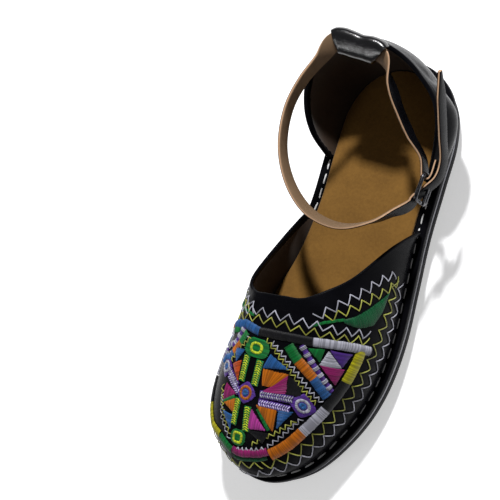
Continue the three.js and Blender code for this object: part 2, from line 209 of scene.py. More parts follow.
def read_rows(rows: tuple[tuple, ...], inner_from: float,
              across: np.ndarray) -> tuple[np.ndarray, np.ndarray, np.ndarray]:
    """Reads a skin's table and its feather line at places across it.

    Args:
        rows: Rows of side, t and the columns to read.
        inner_from: Station that the inner side counts back from.
        across: Places across the skin, from 0 to 1.

    Returns:
        The columns, the feather line in plan and the outward directions there.
    """
    half = [float(LAST.turn(row[1])) / math.pi for row in rows]
    keys = np.array([inner_from - k if row[0] is Side.INNER else k for row, k in zip(rows, half)])
    station = keys[0] + (keys[-1] - keys[0]) * across
    columns = SmoothTable(keys, np.array([row[2:] for row in rows], float)).at(station)
    plan, outward = LAST.inset(station, np.asarray(LAST.feather_inset))
    return np.moveaxis(columns, -1, 0), plan, outward


@dataclass(frozen=True)
class VampSkin:
    """Foot side of the vamp, from the outer wing round the toe to the inner wing.

    Each row leaves the feather line at t by "out" and "up", and reaches its topline point from a handle:
    side, t, out, up, top x, top t, top z, handle x, handle t, handle z.
    """

    rows: tuple[tuple, ...] = (
        (Side.OUTER, 92, 0.2, 1.3, 37.2, 91, 24, 0.2, 0, -1.3),
        (Side.OUTER, 112, 2, 11, 35.5, 107.5, 50, 2, 3, -12),
        (Side.OUTER, 140, 4, 22, 27, 130, 64, 7.5, 5, -11.5),
        (Side.OUTER, 175, 4, 25, 17.2, 143, 71.4, 13.5, 16, -5.3),
        (Side.OUTER, 212, 3, 24, 8.4, 149.7, 73, 11.6, 35.3, -9.5),
        (Side.MIDDLE, 250, 16, 28, -2.2, 152, 73.8, -3.3, 60, -15.5),
        (Side.INNER, 214, 3.5, 22, -13.4, 153.4, 72.4, -7.6, 32.6, -11.4),
        (Side.INNER, 178, 0.3, 22, -22, 153.2, 68.4, -4.5, 12, -8),
        (Side.INNER, 146, 2.2, 18, -28.5, 146, 61.5, -4, 2, -12),
        (Side.INNER, 120, 2.5, 9, -30, 120, 40, -1, 0, -8),
        (Side.INNER, 97, 0.2, 1.3, -28.4, 98, 24, -0.2, 0, -1.3),
    )

    def __call__(self, across: np.ndarray, rise: np.ndarray) -> np.ndarray:
        """Points of the skin at places across it and up it, both from 0 to 1.

        Args:
            across: Places across the skin, from 0 to 1.
            rise: Places up the skin, from 0 to 1.

        Returns:
            The points, along one more axis than the places.
        """
        across, rise = np.broadcast_arrays(np.asarray(across, float), np.asarray(rise, float))
        (out, up, x, t, z, dx, dt, dz), plan, outward = read_rows(self.rows, 2.0, across)
        foot_z = LAST.feather_height + LAST.lift(plan[..., 1])
        stand = plan + outward * out[..., None]
        foot = LAST.place(plan[..., 0], plan[..., 1], foot_z)
        leave = LAST.place(stand[..., 0], stand[..., 1], foot_z + up)
        arrive = LAST.place(x + dx, t + dt, z + dz)
        top = LAST.place(x, t, z)
        k = rise[..., None]
        rest = 1.0 - k
        return rest**3 * foot + 3.0 * rest**2 * k * leave + 3.0 * rest * k**2 * arrive + k**3 * top


@dataclass(frozen=True)
class CounterSkin:
    """Foot side of the heel counter: side, t, rim height, how far the rim stands out, bulge half way."""

    rows: tuple[tuple, ...] = (
        (Side.INNER, 66, 24, 0.6, 0.3), (Side.INNER, 58, 43, 6, 2), (Side.INNER, 46, 58, 8, 3),
        (Side.INNER, 30, 72, 6.5, 4), (Side.INNER, 15, 81, 3, 5), (Side.MIDDLE, 0, 89.3, -3, 5),
        (Side.OUTER, 15, 74, 2.5, 4), (Side.OUTER, 30, 66, 9, 9), (Side.OUTER, 48, 55, 9.5, 7),
        (Side.OUTER, 62, 40, 5.5, 3), (Side.OUTER, 70, 24, 0.6, 0.3),
    )

    def __call__(self, across: np.ndarray, rise: np.ndarray) -> np.ndarray:
        """Points of the skin at places across it and up it, both from 0 to 1.

        Args:
            across: Places across the skin, from 0 to 1.
            rise: Places up the skin, from 0 to 1.

        Returns:
            The points, along one more axis than the places.
        """
        across, rise = np.broadcast_arrays(np.asarray(across, float), np.asarray(rise, float))
        (rim, out, bulge), plan, outward = read_rows(self.rows, 0.0, across)
        plan = plan + outward * (out * rise + bulge * np.sin(np.pi * rise))[..., None]
        height = LAST.feather_height + (rim - LAST.feather_height) * rise
        return LAST.place(plan[..., 0], plan[..., 1], height)


def outward_of(grid: np.ndarray) -> np.ndarray:
    """Directions away from the foot at a grid of points, stations by risers."""
    return unit(np.cross(np.gradient(grid, axis=1), np.gradient(grid, axis=0)))


class Chart:
    """Places on a wall of leather, read on its foot side and carried to its outer face."""

    stations = 361
    levels = 121
    least_facing = 0.25
    longest_cast = 5.0
    edge_step = np.array([0.005, 1.0])
    plan_step = np.array([0.8, 0.8])
    above = 150.0
    half_way_up = 45.0

    def __init__(self, skin: Skin, sight: np.ndarray, wall: float = 2.0) -> None:
        """Samples both faces densely enough to cast on.

        Args:
            skin: The foot side of the leather.
            sight: Direction towards the eye.
            wall: Thickness of the leather.
        """
        self.skin = skin
        self.sight = Vector(sight)
        self.wall = wall
        self.risers = np.linspace(0.0, 1.0, self.levels)
        grid = skin(np.linspace(0.0, 1.0, self.stations)[:, None], self.risers[None, :])
        self.inner = self.tree_of(grid)
        self.outer = self.tree_of(grid + wall * outward_of(grid))

    @staticmethod
    def tree_of(grid: np.ndarray) -> BVHTree:
        """Search tree of a grid of points.

        Args:
            grid: Points, stations by risers.

        Returns:
            The tree of its quads.
        """
        shape = Shape()
        shape.skin(shape.add(grid))
        return BVHTree.FromPolygons(np.concatenate(shape.points).tolist(), shape.faces)

    def columns(self, across: np.ndarray) -> tuple[np.ndarray, np.ndarray]:
        """Sampled columns of the foot side and the arc length up each.

        Args:
            across: Places across the skin.

        Returns:
            Points, places by risers, and arc lengths in the same layout.
        """
        points = self.skin(np.asarray(across, float)[:, None], self.risers[None, :])
        steps = np.linalg.norm(np.diff(points, axis=1), axis=-1)
        return points, np.concatenate([np.zeros((len(points), 1)), np.cumsum(steps, axis=1)], axis=1)

    @staticmethod
    def read(points: np.ndarray, arc: np.ndarray, heights: np.ndarray) -> np.ndarray:
        """One point of each column, at its own arc length."""
        rows = zip(points, arc, heights)
        return np.array([[np.interp(h, a, p[:, i]) for i in range(3)] for p, a, h in rows])

    def carry(self, points: np.ndarray) -> np.ndarray:
        """Moves points from the foot side to the outer face along the line of sight.

        Args:
            points: Points of the foot side.

        Returns:
            Points of the outer face: the nearest ones where the leather turns away.
        """
        found = []
        for point in points:
            start = Vector(point)
            near, normal, _, _ = self.outer.find_nearest(start)
            hit, _, _, gap = self.outer.ray_cast(start, self.sight)
            faces = normal.dot(self.sight) > self.least_facing
            seen = hit is not None and faces and gap < self.longest_cast * self.wall
            found.append(tuple(hit if seen else near))
        return np.array(found)

    def follow(self, line: np.ndarray, rounds: int = 8) -> np.ndarray:
        """Carries a line of points to the outer face, and eases sudden changes of the step along it.

        Args:
            line: Points of the foot side, in order.
            rounds: How often the steps are evened out.

        Returns:
            Points on the outer face, or close to it.
        """
        steps = self.carry(line) - line
        for _ in range(rounds):
            steps[1:-1] = (steps[:-2] + 2.0 * steps[1:-1] + steps[2:]) / 4.0
        return line + steps

    def from_foot(self, path: Path) -> np.ndarray:
        """Outer points along a path given as (across, millimetres above the foot).

        Args:
            path: Corners of the path.

        Returns:
            The points, closely spread.
        """
        places = densify(np.array(path, float), self.edge_step)
        points, arc = self.columns(places[:, 0])
        return self.follow(self.read(points, arc, places[:, 1]))

    def from_top(self, path: Path) -> np.ndarray:
        """Outer points along a path given as (across, millimetres below the top edge).

        Args:
            path: Corners of the path.

        Returns:
            The points, closely spread.
        """
        places = densify(np.array(path, float), self.edge_step)
        points, arc = self.columns(places[:, 0])
        return self.carry(self.read(points, arc, arc[:, -1] - places[:, 1]))

    def drop(self, plan: np.ndarray) -> np.ndarray:
        """Outer points over places (x, t) in plan.

        Args:
            plan: The places.

        Returns:
            A point for each place.
        """
        found = []
        for x, t in plan:
            start = Vector((x, LAST.length / 2.0 - t, self.above))
            hit = self.inner.ray_cast(start, Vector((0.0, 0.0, -1.0)))[0]
            beside = Vector((x, start.y, self.half_way_up))
            found.append(tuple(hit or self.inner.find_nearest(beside)[0]))
        return self.carry(np.array(found))

    def from_plan(self, path: Path) -> np.ndarray:
        """Outer points along a path given as (x, t)."""
        return self.drop(densify(np.array(path, float), self.plan_step))

    def cling(self, points: np.ndarray) -> tuple[np.ndarray, np.ndarray]:
        """Nearest points of the outer face and the outward directions there.

        Args:
            points: Points near the leather, in any layout.

        Returns:
            Places and directions, in the same layout.
        """
        found = [self.outer.find_nearest(Vector(p)) for p in points.reshape(-1, 3)]
        places = np.array([tuple(f[0]) for f in found]).reshape(points.shape)
        normals = np.array([tuple(f[1]) for f in found]).reshape(points.shape)
        return places, normals


def densify(path: np.ndarray, step: np.ndarray) -> np.ndarray:
    """A path with more points, evenly spread between the given ones.

    Args:
        path: Corner points.
        step: Longest step in each dimension.

    Returns:
        The corner points with points between them.
    """
    counts = np.maximum(np.ceil(np.abs(np.diff(path, axis=0)) / step).max(axis=1).astype(int), 1)
    parts = [np.linspace(a, b, n, endpoint=False) for a, b, n in zip(path[:-1], path[1:], counts)]
    return np.concatenate([*parts, path[-1:]])


def arc_of(points: np.ndarray) -> np.ndarray:
    """Distance along a line of points."""
    return np.concatenate([[0.0], np.cumsum(np.linalg.norm(np.diff(points, axis=0), axis=1))])


def even(points: np.ndarray, count: int) -> np.ndarray:
    """Points spread evenly along a line of points.

    Args:
        points: The line.
        count: How many points to spread.

    Returns:
        The points, both ends included.
    """
    arc = arc_of(points)
    where = np.linspace(0.0, arc[-1], count)
    return np.stack([np.interp(where, arc, points[:, i]) for i in range(points.shape[1])], -1)


class Shape:
    """Points and faces of one piece in shoe millimetres, with a finish number on each face."""

    def __init__(self) -> None:
        """Starts with nothing in it."""
        self.points: list[np.ndarray] = []
        self.faces: list[list[int]] = []
        self.marks: list[int] = []
        self.count = 0

    def add(self, points: np.ndarray) -> np.ndarray:
        """Takes in points and gives back their numbers, in the same layout.

        Args:
            points: Points in any layout.

        Returns:
            Their numbers.
        """
        flat = points.reshape(-1, 3)
        numbers = self.count + np.arange(len(flat)).reshape(points.shape[:-1])
        self.points.append(flat)
        self.count += len(flat)
        return numbers

    def polygons(self, corners: np.ndarray, marks: np.ndarray | int = 0) -> None:
        """Adds faces of equal corner count.

        Args:
            corners: Point numbers, the last axis running round each face.
            marks: Finish number of every face, or one for all.
        """
        self.faces.extend(corners.reshape(-1, corners.shape[-1]).tolist())
        self.marks.extend(np.broadcast_to(marks, corners.shape[:-1]).ravel().tolist())

    def skin(self, numbers: np.ndarray, marks: np.ndarray | int = 0, wrap: bool = False) -> None:
        """Adds quads over a grid of point numbers.

        Args:
            numbers: Point numbers, rows by columns.
            marks: Finish number of every quad, or one for all.
            wrap: Joins the last column to the first.
        """
        if wrap:
            numbers = np.concatenate([numbers, numbers[:, :1]], axis=1)
        corners = [numbers[:-1, :-1], numbers[:-1, 1:], numbers[1:, 1:], numbers[1:, :-1]]
        self.polygons(np.stack(corners, -1), marks)

    def sweep(self, rings: np.ndarray, marks: np.ndarray | int = 0, closed: bool = False,
              end_mark: int = 0) -> None:
        """Adds a solid swept through rings of points.

        Args:
            rings: Rings by points by coordinates.
            marks: Finish number of every quad, or one for all.
            closed: Joins the last ring to the first.
            end_mark: Finish number of the two end faces.
        """
        numbers = self.add(rings)
        if closed:
            self.skin(np.concatenate([numbers, numbers[:1]]), marks, wrap=True)
            return
        self.skin(numbers, marks, wrap=True)
        self.polygons(np.stack([numbers[0][::-1], numbers[-1]]), end_mark)

    def solidify(self, name: str, materials: list[bpy.types.Material], crease_deg: float,
                 turn_faces: bool) -> bpy.types.Object:
        """Makes the scene object.

        Args:
            name: Name of the object.
            materials: Materials in the order of the finish numbers.
            crease_deg: Edges sharper than this are shaded as edges.
            turn_faces: Turns every face outwards first.

        Returns:
            The object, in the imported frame.
        """
        mesh = bpy.data.meshes.new(name)
        mesh.from_pydata(LAST.to_frame(np.concatenate(self.points)).tolist(), [], self.faces)
        for material in materials:
            mesh.materials.append(material)
        mesh.polygons.foreach_set("material_index", self.marks)
        if turn_faces:
            work = bmesh.new()
            work.from_mesh(mesh)
            bmesh.ops.recalc_face_normals(work, faces=work.faces)
            work.to_mesh(mesh)
            work.free()
        mesh.polygons.foreach_set("use_smooth", [True] * len(mesh.polygons))
        mesh.set_sharp_from_angle(angle=math.radians(crease_deg))
        mesh.update()
        made = bpy.data.objects.new(name, mesh)
        bpy.context.scene.collection.objects.link(made)
        return made


class Value:
    """A socket of a finish's nodes that takes part in arithmetic."""

    def __init__(self, shader: "Shader", socket: bpy.types.NodeSocket) -> None:
        """Wraps an output socket."""
        self.shader = shader
        self.socket = socket

    def maths(self, operation: str, first: "Value | float", second: "Value | float" = 0.0) -> "Value":
        """Adds one Math node."""
        return self.shader.node("ShaderNodeMath", {"operation": operation}, {0: first, 1: second})

    def __add__(self, other: "Value | float") -> "Value":
        """Sum."""
        return self.maths("ADD", self, other)

    def __radd__(self, other: float) -> "Value":
        """Sum, reflected."""
        return self.maths("ADD", other, self)

    def __sub__(self, other: "Value | float") -> "Value":
        """Difference."""
        return self.maths("SUBTRACT", self, other)

    def __rsub__(self, other: float) -> "Value":
        """Difference, reflected."""
        return self.maths("SUBTRACT", other, self)

    def __mul__(self, other: "Value | float") -> "Value":
        """Product."""
        return self.maths("MULTIPLY", self, other)

    def __rmul__(self, other: float) -> "Value":
        """Product, reflected."""
        return self.maths("MULTIPLY", other, self)

    def between(self, low: float, high: float) -> "Value":
        """Smooth step from 0 to 1.

        Args:
            low: Where it starts.
            high: Where it ends.

        Returns:
            The step.
        """
        settings = {"interpolation_type": "SMOOTHSTEP"}
        sockets = {"Value": self, "From Min": low, "From Max": high}
        return self.shader.node("ShaderNodeMapRange", settings, sockets, "Result")


Feed = Value | float | tuple[float, ...]


class Shader:
    """Node tree of one finish."""

    def __init__(self, name: str) -> None:
        """Starts a material with one principled surface.

        Args:
            name: Name of the material.
        """
        self.material = bpy.data.materials.new(name)
        self.material.use_nodes = True
        self.tree = self.material.node_tree
        self.tree.nodes.clear()
        self.surface = self.tree.nodes.new("ShaderNodeBsdfPrincipled")
        output = self.tree.nodes.new("ShaderNodeOutputMaterial")
        self.tree.links.new(self.surface.outputs["BSDF"], output.inputs["Surface"])

    def connect(self, node: bpy.types.Node, sockets: dict[str | int, Feed]) -> None:
        """Sets or links sockets of a node.

        Args:
            node: The node.
            sockets: Values or links, by socket.
        """
        for key, feed in sockets.items():
            if isinstance(feed, Value):
                self.tree.links.new(feed.socket, node.inputs[key])
            else:
                node.inputs[key].default_value = feed

    def node(self, kind: str, settings: dict[str, object], sockets: dict[str | int, Feed],
             output: str | int = 0) -> Value:
        """Adds a node.

        Args:
            kind: Blender's name of the node.
            settings: Its settings, set first.
            sockets: Values or links of its inputs.
            output: The output that is handed back.

        Returns:
            That output, ready for arithmetic.
        """
        made = self.tree.nodes.new(kind)
        for key, setting in settings.items():
            setattr(made, key, setting)
        self.connect(made, sockets)
        return Value(self, made.outputs[output])

    def place(self) -> Value:
        """Coordinates of the piece, in metres."""
        return self.node("ShaderNodeTexCoord", {}, {}, "Object")

    def noise(self, scale: float, detail: float = 3.0, rough: float = 0.5) -> Value:
        """Soft noise from 0 to 1, with features of about 1/scale metres."""
        sockets = {"Vector": self.place(), "Scale": scale, "Detail": detail, "Roughness": rough}
        return self.node("ShaderNodeTexNoise", {}, sockets, "Fac")

    def cells(self, scale: float, feature: str) -> Value:
        """Distance in a pattern of cells of about 1/scale metres."""
        sockets = {"Vector": self.place(), "Scale": scale, "Randomness": 1.0}
        return self.node("ShaderNodeTexVoronoi", {"feature": feature}, sockets, "Distance")

    def blend(self, share: Value, first: Feed, second: Feed) -> Value:
        """Colour between two colours."""
        return self.node("ShaderNodeMix", {"data_type": "RGBA"}, {0: share, 6: first, 7: second}, 2)

    def bump(self, height: Value, distance: float, strength: float = 1.0) -> Value:
        """Surface relief from a height of 0 to 1, "distance" metres deep."""
        sockets = {"Height": height, "Distance": distance, "Strength": strength}
        return self.node("ShaderNodeBump", {}, sockets, "Normal")

    def finish(self, sockets: dict[str | int, Feed]) -> bpy.types.Material:
        """Feeds the surface and hands back the material."""
        self.connect(self.surface, sockets)
        return self.material


class Finish(ABC):
    """A finish that can be turned into a material."""

    @abstractmethod
    def material(self) -> bpy.types.Material:
        """Makes the material.

        Returns:
            The material.
        """


@dataclass(frozen=True)
class Leather(Finish):
    """Smooth dyed leather with a fine grain."""

    name: str
    tint: tuple[int, int, int]
    worn: tuple[int, int, int]
    shine: float = 0.36
    gleam: float = 0.02
    grain: float = 1100.0
    depth: float = 0.00007
    patches: float = 70.0
    fibres: float = 2600.0
    relief: float = 0.4

    def material(self) -> bpy.types.Material:
        """Makes the material.

        Returns:
            The material.
        """
        shader = Shader(self.name)
        pores = shader.cells(self.grain, "DISTANCE_TO_EDGE").between(0.0, 0.22)
        cloud = shader.noise(self.patches, 4.0)
        fine = shader.noise(self.fibres, 2.0)
        rub = cloud.between(0.45, 0.8)
        height = 0.75 * pores + 0.25 * fine
        return shader.finish({
            "Base Color": shader.blend(0.8 * rub + 0.2 * (1.0 - pores), linear(self.tint), linear(self.worn)),
            "Roughness": self.shine - 0.06 + 0.14 * cloud + 0.06 * (1.0 - pores),
            "Specular IOR Level": self.gleam,
            "Normal": shader.bump(height, self.depth, self.relief),
        })


@dataclass(frozen=True)
class Suede(Finish):
    """Brushed leather: short nap, cloudy colour."""

    name: str
    light: tuple[int, int, int]
    dark: tuple[int, int, int]
    nap: float = 2200.0
    depth: float = 0.0001
    patches: float = 55.0
    specks: float = 600.0
    relief: float = 0.5

    def material(self) -> bpy.types.Material:
        """Makes the material.

        Returns:
            The material.
        """
        shader = Shader(self.name)
        fibre = shader.noise(self.nap, 4.0, 0.7)
        cloud = shader.noise(self.patches, 3.0)
        speck = shader.noise(self.specks, 2.0)
        shade = 0.45 * cloud + 0.3 * speck + 0.35 * fibre
        return shader.finish({
            "Base Color": shader.blend(shade.between(0.3, 0.8), linear(self.light), linear(self.dark)),
            "Roughness": 0.82 + 0.14 * fibre,
            "Specular IOR Level": 0.2,
            "Sheen Weight": 0.15,
            "Sheen Roughness": 0.5,
            "Normal": shader.bump(fibre, self.depth, self.relief),
        })


@dataclass(frozen=True)
class Moulded(Finish):
    """Rubber or foam of the sole, with fine pores and scuffs."""

    name: str
    tint: tuple[int, int, int]
    scuffed: tuple[int, int, int]
    pores: float = 1500.0
    dull: float = 0.6
    gleam: float = 0.35
    depth: float = 0.00006
    patches: float = 45.0
    relief: float = 0.5

    def material(self) -> bpy.types.Material:
        """Makes the material.

        Returns:
            The material.
        """
        shader = Shader(self.name)
        cloud = shader.noise(self.patches, 4.0)
        grit = shader.noise(self.pores, 3.0, 0.65)
        return shader.finish({
            "Base Color": shader.blend(0.7 * cloud.between(0.4, 0.8) + 0.3 * grit,
                                       linear(self.tint), linear(self.scuffed)),
            "Roughness": self.dull + 0.2 * grit,
            "Specular IOR Level": self.gleam,
            "Normal": shader.bump(grit, self.depth, self.relief),
        })


@dataclass(frozen=True)
class Wire(Finish):
    """Plated buckle wire with faint rubbing."""

    name: str
    tint: tuple[int, int, int]
    rubbed: tuple[int, int, int]
    wear: float = 900.0

    def material(self) -> bpy.types.Material:
        """Makes the material.

        Returns:
            The material.
        """
        shader = Shader(self.name)
        rub = shader.noise(self.wear, 4.0)
        return shader.finish({
            "Base Color": shader.blend(rub.between(0.35, 0.75), linear(self.tint), linear(self.rubbed)),
            "Metallic": 1.0,
            "Roughness": 0.2 + 0.2 * rub,
        })


@dataclass(frozen=True)
class Thread(Finish):
    """Glossy embroidery thread; its lay is in the strands themselves."""

    name: str
    tint: tuple[int, int, int]
    dull: float = 0.42

    def material(self) -> bpy.types.Material:
        """Makes the material.

        Returns:
            The material.
        """
        return Shader(self.name).finish({
            "Base Color": linear(self.tint),
            "Roughness": self.dull,
            "Specular IOR Level": 0.2,
            "Sheen Weight": 0.05,
        })


class Dye(Enum):
    """Colours of the threads."""

    WHITE = (160, 160, 171)
    OLIVE = (152, 154, 66)
    YELLOW = (164, 158, 26)
    LIME = (180, 194, 36)
    GREEN = (6, 104, 44)
    FOREST = (2, 76, 40)
    BLUE = (36, 84, 140)
    ORANGE = (172, 94, 12)
    RUST = (178, 72, 26)
    MAGENTA = (136, 28, 94)
    PINK = (172, 58, 146)
    PURPLE = (76, 42, 130)
    LILAC = (186, 176, 214)
    BLACK = (14, 14, 18)


BLACK_LEATHER = Leather("black_leather", (9, 9, 12), (15, 15, 19), shine=0.22)
GLOSSY_LEATHER = Leather("glossy_leather", (9, 9, 12), (15, 15, 19), shine=0.16, gleam=0.9, grain=900.0)
STRAP_BACK = Leather("strap_back", (112, 90, 68), (128, 104, 80), shine=0.6, gleam=0.2, grain=1500.0)
CUT_EDGE = Suede("cut_edge", (190, 156, 126), (158, 124, 96))
INSOLE_SUEDE = Suede("insole_suede", (124, 89, 37), (98, 68, 25))
# Lining: darker brown than its lit colour; partly its own tone, partly painted shade for the inside of the
# shoe.
LINING_WITH_PAINTED_SHADE = Suede("lining_leather", (66, 48, 32), (48, 34, 23))
RUBBER = Moulded("sole_rubber", (12, 12, 16), (19, 19, 23), gleam=0.1)
PALE_LAYER = Moulded("pale_layer", (176, 176, 182), (158, 158, 164), dull=0.5)
GREY_LAYER = Moulded("grey_layer", (98, 98, 106), (84, 84, 92), dull=0.5)
WELT_EDGE = Moulded("welt_edge", (14, 14, 18), (22, 22, 26), dull=0.5, gleam=0.1)
BUCKLE_WIRE = Wire("buckle_wire", (48, 48, 52), (88, 88, 92))
WELT_THREAD = Thread("welt_thread", (214, 214, 214), 0.55)


@dataclass
class Piece:
    """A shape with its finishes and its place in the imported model."""

    name: str
    shape: Shape
    finishes: list[Finish]
    slot: str
    node: str | None = None
    crease_deg: float = 40.0
    turn_faces: bool = True

    def fit(self) -> bpy.types.Object:
        """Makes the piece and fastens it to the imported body.

        Returns:
            The object.
        """
        materials = [finish.material() for finish in self.finishes]
        made = self.shape.solidify(self.name, materials, self.crease_deg, self.turn_faces)
        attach(made, BODY)
        if self.node:
            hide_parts(self.node)
        return made


class SubAssembly(ABC):
    """A group of pieces that is built together."""

    @abstractmethod
    def dress(self) -> list[Piece]:
        """Builds the group's shapes and gives each its finishes."""


@dataclass
class SoleUnit(SubAssembly):
    """Outsole, two-tone midsole, stitched welt and insole."""

    stations: int = 240
    outsole: Path = ((0, 4), (0.5, 3.3), (1.2, 3), (8.6, 1.45), (9, 1.7))
    midsole: Path = (
        (9.3, 1.8), (9.4, 1.6), (10.8, 1.4), (10.95, 1.75), (11.1, 1.36), (13.8, 0.95), (14, 1.2),
    )
    welt: Path = ((14.3, 0.8), (14.9, 0.2), (15.2, 0), (18.4, 0), (19.1, 0.25), (19.5, 0.8))
    insole: Path = ((19.8, 7.0), (20.1, 6.9), (21.5, 6.9), (21.85, 7.1), (22, 7.7))
    welt_inside: float = 7.5
    groove: Path = ((-1.0, 0.0), (-0.5, 0.7), (0.0, 1.0), (0.5, 0.7), (1.0, 0.0))
    groove_depth: float = 0.4
    groove_half: float = 0.9
    toe_from: float = 200.0
    toe_to: float = 245.0
    stitch_side: float = 4.3
    stitch_toe: float = 3.3
    stitch_long: float = 6.5
    stitch_pitch: float = 8.5
    stitch_radius: float = 0.48
    stitch_flat: float = 0.8
    stitch_crest: float = 0.45
    stitch_sway: float = 0.12
    stitch_slip: float = 0.03
    stitch_rise: float = 1.7
    stitch_sunk: float = 0.9
    stitch_thin: float = 0.55
    stitch_rings: int = 9
    stitch_sides: int = 8
    pale_from: int = 3
    edge_rings: int = 3

    def ring(self, z: float, inset: np.ndarray | float) -> np.ndarray:
        """One level of a plate, all the way round.

        Args:
            z: Height of the level.
            inset: Distance inside the edge, one number or one for each station.

        Returns:
            A point for each station.
        """
        places = np.arange(self.stations) * 2.0 / self.stations
        plan, _ = LAST.inset(places, np.broadcast_to(inset, places.shape))
        return LAST.place(plan[:, 0], plan[:, 1], z + LAST.lift(plan[:, 1]))

    def levels(self, path: Path) -> np.ndarray:
        """Levels of a plate through places given as (height, inset)."""
        return np.stack([self.ring(*level) for level in path])

    def plate(self, rings: np.ndarray, marks: np.ndarray | int = 0) -> Shape:
        """Closed plate through its levels.

        Args:
            rings: Levels, upwards, by stations.
            marks: Finish number of every wall face, or one for all.

        Returns:
            The plate, capped with strips from side to side.
        """
        shape = Shape()
        numbers = shape.add(rings)
        shape.skin(numbers, marks, wrap=True)
        half = self.stations // 2
        for ring in (numbers[0], numbers[-1]):
            outer = ring[:half + 1]
            inner = np.concatenate([ring[:1], ring[half:][::-1]])
            body = np.stack([outer[1:-2], outer[2:-1], inner[2:-1], inner[1:-2]], -1)
            shape.polygons(body)
            shape.polygons(np.array([[outer[0], outer[1], inner[1]], [outer[-2], outer[-1], inner[-2]]]))
        return shape

    def stitch_inset(self) -> np.ndarray:
        """Distance of the stitch row from the welt's edge at each station.

        Returns:
            A distance for each station.
        """
        t = LAST.length / 2.0 - self.ring(0.0, 0.0)[:, 1]
        toe = ease(self.toe_from, self.toe_to, t)
        return self.stitch_side + (self.stitch_toe - self.stitch_side) * toe

    def build_welt(self) -> Shape:
        """Welt with a groove for its stitches.

        Returns:
            The welt: finish 1 on its side, finish 0 elsewhere.
        """
        rings = list(self.levels(self.welt))
        top = self.welt[-1][0]
        line = self.stitch_inset()
        for offset, drop in self.groove:
            rings.append(self.ring(top - self.groove_depth * drop, line + offset * self.groove_half))
        rings.append(self.ring(top, self.welt_inside))
        marks = np.zeros((len(rings) - 1, self.stations), int)
        marks[1:self.edge_rings] = 1
        return self.plate(np.stack(rings), marks)

    def build_stitches(self) -> Shape:
        """Running stitches that lie in the welt's groove.

        Returns:
            The stitches.
        """
        shape = Shape()
        line = self.ring(self.welt[-1][0] - self.groove_depth, self.stitch_inset())
        line = np.concatenate([line, line[:1]])
        arc = arc_of(line)
        count = round(arc[-1] / self.stitch_pitch)
        share = self.stitch_long / self.stitch_pitch
        rng = np.random.default_rng(SEED)
        turn = np.linspace(0.0, 2.0 * np.pi, self.stitch_sides, endpoint=False)
        for i in range(count):
            sway = rng.normal(0.0, self.stitch_sway, 2)
            start = i + np.linspace(0.0, share, self.stitch_rings)
            where = (start + sway[0] * self.stitch_slip) * arc[-1] / count
            centre = np.stack([np.interp(where, arc, line[:, k]) for k in range(3)], -1)
            crest = np.sin(np.pi * np.linspace(0.0, 1.0, self.stitch_rings)) ** self.stitch_crest
            centre[:, 2] += self.stitch_radius * (self.stitch_rise * crest - self.stitch_sunk)
            along = unit(np.gradient(centre, axis=0))
            side = unit(np.cross(np.array([0.0, 0.0, 1.0]), along))
            up = np.cross(along, side)
            centre += side * np.linspace(sway[1], -sway[1], self.stitch_rings)[:, None]
            radius = self.stitch_radius * (self.stitch_thin + (1.0 - self.stitch_thin) * crest)
            ring = np.cos(turn)[None, :, None] * side[:, None]
            ring = ring + np.sin(turn)[None, :, None] * up[:, None] * self.stitch_flat
            shape.sweep(centre[:, None] + radius[:, None, None] * ring)
        return shape

    def dress(self) -> list[Piece]:
        """Builds the sole's layers and gives each its finish.

        Returns:
            The pieces, from the ground up.
        """
        pale = np.zeros((len(self.midsole) - 1, self.stations), int)
        pale[self.pale_from:] = 1
        outsole = self.plate(self.levels(self.outsole))
        midsole = self.plate(self.levels(self.midsole), pale)
        insole = self.plate(self.levels(self.insole))
        welt = self.build_welt()
        return [
            Piece("outsole_rubber", outsole, [RUBBER], "sole_rubber", "outsole", 30.0),
            Piece("midsole_layers", midsole, [GREY_LAYER, PALE_LAYER], "midsole_layer", "midsole", 30.0),
            Piece("welt_leather", welt, [BLACK_LEATHER, WELT_EDGE], "black_leather", "welt", 35.0),
            Piece("welt_stitches", self.build_stitches(), [WELT_THREAD], "thread"),
            Piece("insole_suede", insole, [INSOLE_SUEDE], "insole_suede", "insole", 50.0),
        ]


@dataclass(frozen=True)
class Crease:
    """Soft fold of the leather: a line on the chart, its half width and its rise in millimetres."""

    line: Path
    width: float
    rise: float
    points: int = 24

    def relief(self, chart: Chart, points: np.ndarray) -> np.ndarray:
        """How far the fold moves each point outwards.

        Args:
            chart: Chart of the leather.
            points: Points of the outer face.

        Returns:
            A distance for each point.
        """
        line = even(chart.from_top(self.line), self.points)
        gaps = np.linalg.norm(points[..., None, :] - line, axis=-1)
        fade = np.sin(np.pi * np.linspace(0.04, 0.96, self.points)) ** 0.6
        return self.rise * (np.exp(-((gaps / self.width) ** 2)) * fade).max(-1)


